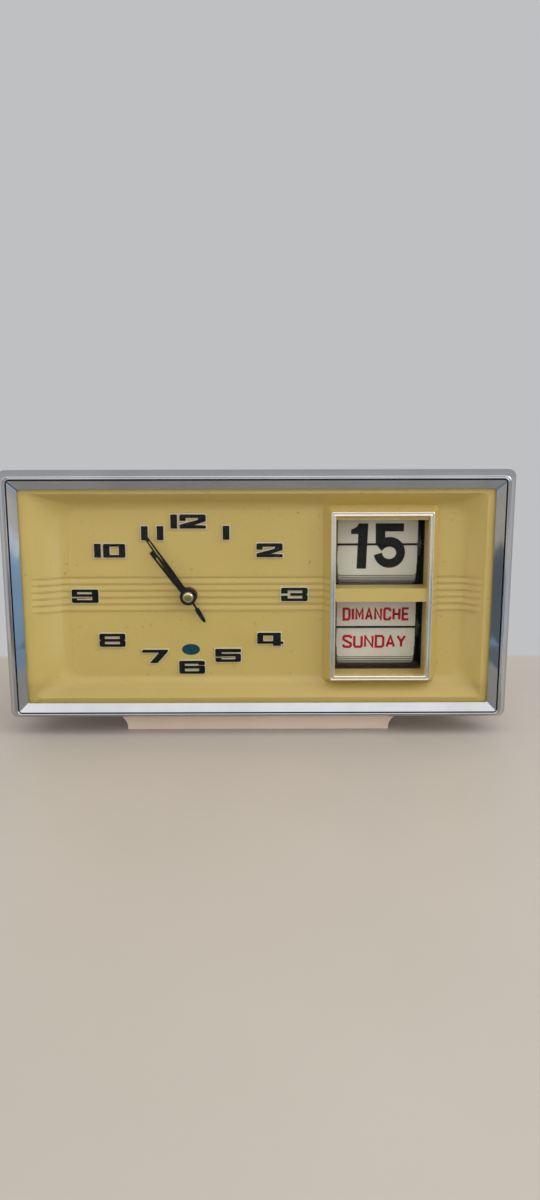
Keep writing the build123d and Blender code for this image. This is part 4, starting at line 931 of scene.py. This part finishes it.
# Knobs: a turned body with moulded grip ridges repeated round it
def turned(profile, steps):
    # A round body about its axis from (radius, height) points, foot first
    whole = bmesh.new()
    rings = []
    around = [2 * pi * i / steps for i in range(steps)]
    for radius, height in profile:
        if radius:
            rings.append([whole.verts.new(Vector((radius * cos(turn), radius * sin(turn), height)) * mm)
                          for turn in around])
        else:
            rings.append([whole.verts.new((0, 0, height * mm))] * steps)
    weave(whole, rings, True)
    return meshFrom("turnedBody", whole, 32)


def gripTree():
    # Round-backed ridges set about a body at even steps, in its own finish
    tree = bpy.data.node_groups.new("gripRidges", "GeometryNodeTree")
    sockets = {"Geometry": "Geometry", "Ridges": "Int", "Pitch Radius": "Float", "Ridge Radius": "Float",
               "Foot": "Float", "Length": "Float", "Finish": "Material"}
    for name, kind in sockets.items():
        tree.interface.new_socket(name, in_out="INPUT", socket_type="NodeSocket" + kind)
    tree.interface.new_socket("Geometry", in_out="OUTPUT", socket_type="NodeSocketGeometry")
    start = add(tree, "NodeGroupInput")
    places = add(tree, "GeometryNodeMeshCircle", {
        "Vertices": (start, "Ridges"), "Radius": (start, "Pitch Radius")})
    ridge = add(tree, "GeometryNodeMeshCylinder", {
        "Vertices": 10, "Side Segments": 1, "Fill Segments": 1,
        "Radius": (start, "Ridge Radius"), "Depth": (start, "Length")})
    half = maths(tree, "MULTIPLY", (start, "Length"), 0.5)
    lift = add(tree, "ShaderNodeCombineXYZ", {"Z": maths(tree, "ADD", half, (start, "Foot"))})
    raised = add(tree, "GeometryNodeTransform", {
        "Geometry": (ridge, "Mesh"), "Translation": (lift, "Vector")})
    row = add(tree, "GeometryNodeInstanceOnPoints", {
        "Points": (places, "Mesh"), "Instance": (raised, "Geometry")})
    own = add(tree, "GeometryNodeRealizeInstances", {"Geometry": (row, "Instances")})
    both = add(tree, "GeometryNodeJoinGeometry")
    for node in (start, own):
        link(tree, (node, "Geometry"), both, "Geometry")
    plain = add(tree, "GeometryNodeRealizeInstances", {"Geometry": (both, "Geometry")})
    coated = add(tree, "GeometryNodeSetMaterial", {
        "Geometry": (plain, "Geometry"), "Material": (start, "Finish")})
    add(tree, "NodeGroupOutput", {"Geometry": (coated, "Geometry")})
    return tree


knobSteps = 96
knobs = {
    # profile: radius and height from the knob's foot; ridges in the grip's own named inputs
    "set": {"profile": [(0, 0), (5.9, 0), (6.4, 0.4), (6.4, 6.4), (6.0, 6.85), (5.2, 7.0), (4.8, 6.75),
                        (2.6, 6.5), (2.3, 6.8), (2.0, 6.9), (0, 6.95)],
            "ridges": 32, "grip": {"Pitch Radius": 6.5, "Ridge Radius": 0.48, "Foot": 0.7, "Length": 5.4},
            "kind": "nickel", "slot": "steel", "axis": 1, "turn": (-pi / 2, 4, "X"),
            "nodes": {"time_set_knob": "minute_hand", "alarm_set_knob": "alarm_setting"}},
    "side": {"profile": [(0, 0), (7.0, 0), (7.3, 0.2), (7.3, 2.0), (6.9, 2.35), (6.0, 2.6), (5.4, 2.35),
                         (2.2, 2.2), (1.9, 2.45), (0, 2.5)],
             "ridges": 30, "grip": {"Pitch Radius": 7.4, "Ridge Radius": 0.58, "Foot": 0.3, "Length": 1.7},
             "kind": "case", "slot": "knob_cream", "axis": 0, "turn": (pi / 2, 4, "Y"),
             "nodes": {"date_set_knob": "date_drum", "day_set_knob": "day_drum"}},
}


def makeKnobs():
    tree = gripTree()
    sockets = {item.name: item.identifier for item in tree.interface.items_tree if item.in_out == "INPUT"}
    for shape in knobs.values():
        for node, body in shape["nodes"].items():
            holder = newObject(node + "_body", turned(shape["profile"], knobSteps))
            grip = holder.modifiers.new("grip", "NODES")
            grip.node_group = tree
            grip[sockets["Ridges"]] = shape["ridges"]
            for name, size in shape["grip"].items():
                grip[sockets[name]] = size * mm
            grip[sockets["Finish"]] = finish[shape["kind"]]
            mesh = evaluated(holder)
            # Its foot is the end of the CAD knob that lies next to the case
            low, high = (Vector(corner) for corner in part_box(node))
            foot = (low + high) / 2
            foot[shape["axis"]] = low[shape["axis"]]
            mesh.transform(Matrix.Translation(foot) @ Matrix.Rotation(*shape["turn"]))
            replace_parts(meshPiece(node + "_grip", mesh, shape["kind"], body), node)


makeKnobs()
print("stage: knobs")


# Marks printed on the back: which way each key and knob turns, and the regulator's scale
backMarks = {
    "cover": 27.0, "bite": 0.01, "ink": 0.05, "stroke": 0.7, "head": 2.4, "steps": 20,
    # the turned node, radius, first and last bearing as seen from behind
    "arrows": [("time_winding_key", 13.0, 145, 215), ("alarm_winding_key", 13.0, -35, 35),
               ("time_set_knob", 9.2, 55, 125), ("alarm_set_knob", 9.2, 235, 305)],
    "scale": {"middle": (-28.947, 95.975), "bearing": -30, "radius": 12.0, "step": 6, "eachSide": 4,
              "tick": 1.6, "longTick": 2.56, "tickStroke": 0.4},
    # minus before the scale and plus past it, each so many bars
    "signs": {"bars": {-1: 1, 1: 2}, "beyond": 1.6, "out": 1.2, "half": 1.1, "stroke": 0.45},
}


def arrowOutlines(node, radius, start, end):
    low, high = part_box(node)
    x, z = -(low[0] + high[0]) / 2 / mm, (low[2] + high[2]) / 2 / mm
    tip = radians(end)
    foot = Vector((x + radius * cos(tip), z + radius * sin(tip)))
    across = Vector((cos(tip), sin(tip))) * backMarks["head"] / 2
    ahead = Vector((-sin(tip), cos(tip))) * backMarks["head"]
    bow = arc(x, z, radius, radius, start, end, backMarks["steps"])
    return ribbon(bow, backMarks["stroke"]) + [[foot - across, foot + across, foot + ahead]]


def scaleOutlines():
    scale, signs = backMarks["scale"], backMarks["signs"]
    middle = Vector((-scale["middle"][0], scale["middle"][1]))
    count = scale["eachSide"]

    def way(steps):
        turn = radians(180 - scale["bearing"] - steps * scale["step"])
        return Vector((cos(turn), sin(turn)))

    outlines = []
    for i in range(-count, count + 1):
        foot = middle + way(i) * scale["radius"]
        tick = scale["longTick" if i in (-count, 0, count) else "tick"]
        outlines += ribbon([foot, foot + way(i) * tick], scale["tickStroke"])
    for side, bars in signs["bars"].items():
        spot = middle + way(side * (count + signs["beyond"])) * (scale["radius"] + signs["out"])
        for bar in (Vector((1, 0)), Vector((0, 1)))[:bars]:
            outlines += ribbon([spot - bar * signs["half"], spot + bar * signs["half"]], signs["stroke"])
    return outlines


def makeBackMarks():
    outlines = [outline for arrow in backMarks["arrows"] for outline in arrowOutlines(*arrow)]
    face = (Matrix.Translation((0, (backMarks["cover"] - backMarks["bite"]) * mm, 0))
            @ Matrix.Rotation(pi, 4, "Z") @ Matrix.Rotation(pi / 2, 4, "X"))
    meshes = []
    for outline in outlines + scaleOutlines():
        mesh = fromOutlines([outline], backMarks["ink"])
        mesh.transform(face)
        meshes.append(mesh)
    meshPiece("back_marks", meshes, "blackInk", "clock")


makeBackMarks()
print("stage: marks on the back")


# Camera, from the photograph's own perspective
camera = {"place": (4.9, -409.5, 138.0), "lens": 27.06, "down": 11.44, "yaw": -0.09, "roll": -0.13}


def makeCamera():
    data = bpy.data.cameras.new("camera")
    data.sensor_width = 36
    data.lens = camera["lens"]
    data.clip_start = 0.01
    eye = newObject("camera", data)
    eye.matrix_world = (Matrix.Translation(Vector(camera["place"]) * mm)
                        @ Matrix.Rotation(radians(camera["yaw"]), 4, "Z")
                        @ Matrix.Rotation(radians(90 - camera["down"]), 4, "X")
                        @ Matrix.Rotation(radians(camera["roll"]), 4, "Z"))
    bpy.context.scene.camera = eye


makeCamera()


# Stage, in metres: a pale board that gives way to the wall's colour behind the clock, so no horizon shows
stage = {
    "table": "#b3aa9f", "tableLight": "#bab1a6", "grain": 260, "wall": "#bfc0c2",
    "size": 6.0, "room": 0.76,
    "board": (("X", -0.8, -1), ("X", 0.8, 1), ("Y", -0.8, -1), ("Y", 0.105, 1)), "edge": 0.003,
    "aim": (0, 0, 0.06),
}
lamps = {
    "windowPanel": {"place": (0.3, -0.8, 0.8), "size": (2.2, 1.6), "power": 9.2, "colour": "#fffdfb"},
    "rightPanel": {"place": (1.1, -0.45, 0.75), "size": (0.7, 0.7), "power": 5.6, "colour": "#eaf2ff"},
    "leftPanel": {"place": (-1.1, -0.45, 0.75), "size": (0.7, 0.7), "power": 1.2, "colour": "#fff8ee"},
}
# Painted reflections: flat sheets seen only in the bright trim, standing for a dark and blue room and the
# shaded board in front of the clock: a box on the floor plan and a colour
flags = {
    "frontMat": ((-0.16, -0.125, 0.16, -0.04), "#9c9a96"),
    "blueNear": ((-0.1, -0.17, 0.0, -0.125), "#7f9bb3"),
    "darkNear": ((0.0, -0.17, 0.1, -0.125), "#5d6870"),
    "blueFar": ((0.0, -0.45, 0.3, -0.17), "#7b9cb8"),
    "paleFar": ((0.0, -0.79, 0.3, -0.45), "#c3ced6"),
    "darkFar": ((-0.3, -0.45, 0.0, -0.17), "#4f5a62"),
}
flagHeight = 0.001


def flatObject(name, corners, height, material):
    mesh = bpy.data.meshes.new(name)
    mesh.from_pydata([(x, y, height) for x, y in corners], [], [(0, 1, 2, 3)])
    mesh.materials.append(material)
    made = newObject(name, mesh)
    return made


def seenDirectly(tree):
    # One for a ray from the eye, also by way of gloss or through the crystal
    path = add(tree, "ShaderNodeLightPath")
    straight = maths(tree, "MAXIMUM", (path, "Is Camera Ray"), (path, "Is Glossy Ray"))
    return maths(tree, "MAXIMUM", straight, (path, "Is Transmission Ray"))


def makeTable():
    made, tree, surface = newMaterial("satinLacqueredBoard", {
        "Roughness": 0.4, "Specular IOR Level": 0.35})
    mottle(tree, surface, (stage["table"], stage["tableLight"]), stage["grain"])
    place = dict(zip("XYZ", objectPlace(tree)))
    outside = 0.0
    for axis, line, way in stage["board"]:
        blur = way * stage["edge"]
        outside = maths(tree, "MAXIMUM", outside, spread(tree, place[axis], line - blur, line + blur))
    glow = add(tree, "ShaderNodeEmission", {"Color": linear(stage["wall"]), "Strength": 1.0})
    shareSurface(tree, maths(tree, "MULTIPLY", seenDirectly(tree), outside), surface, (glow, "Emission"))
    s = stage["size"]
    flatObject("table", box(-s, -s, s, s), 0, made)


def makeWorld():
    world = bpy.data.worlds.new("softRoom")
    bpy.context.scene.world = world
    world.use_nodes = True
    tree = world.node_tree
    tree.nodes.clear()
    room = add(tree, "ShaderNodeBackground", {"Color": linear("#ffffff"), "Strength": stage["room"]})
    wall = add(tree, "ShaderNodeBackground", {"Color": linear(stage["wall"]), "Strength": 1.0})
    mixed = add(tree, "ShaderNodeMixShader", {
        "Fac": seenDirectly(tree), 1: (room, "Background"), 2: (wall, "Background")})
    add(tree, "ShaderNodeOutputWorld", {"Surface": (mixed, "Shader")})


def makeLamps():
    for name, values in lamps.items():
        lamp = bpy.data.lights.new(name, "AREA")
        lamp.shape = "RECTANGLE"
        lamp.size, lamp.size_y = values["size"]
        lamp.energy = values["power"]
        lamp.color = linear(values["colour"])[:3]
        place = Vector(values["place"])
        aim = (Vector(stage["aim"]) - place).to_track_quat("-Z", "Y").to_matrix().to_4x4()
        newObject(name, lamp).matrix_world = Matrix.Translation(place) @ aim


def makeFlags():
    for name, (sides, colour) in flags.items():
        made, tree, surface = newMaterial(name + "ReflectionCard", {
            "Base Color": linear(colour), "Roughness": 0.9})
        # Only its upper side is there, so that the board's own gloss doesn't meet it
        side = add(tree, "ShaderNodeNewGeometry")
        nothing = add(tree, "ShaderNodeBsdfTransparent")
        shareSurface(tree, (side, "Backfacing"), surface, (nothing, "BSDF"))
        flag = flatObject(name, box(*sides), flagHeight, made)
        flag.visible_camera = flag.visible_diffuse = flag.visible_shadow = False


makeTable()
makeWorld()
makeLamps()
makeFlags()
bpy.context.scene.view_settings.view_transform = "Standard"
print("stage: camera, table and lamps")
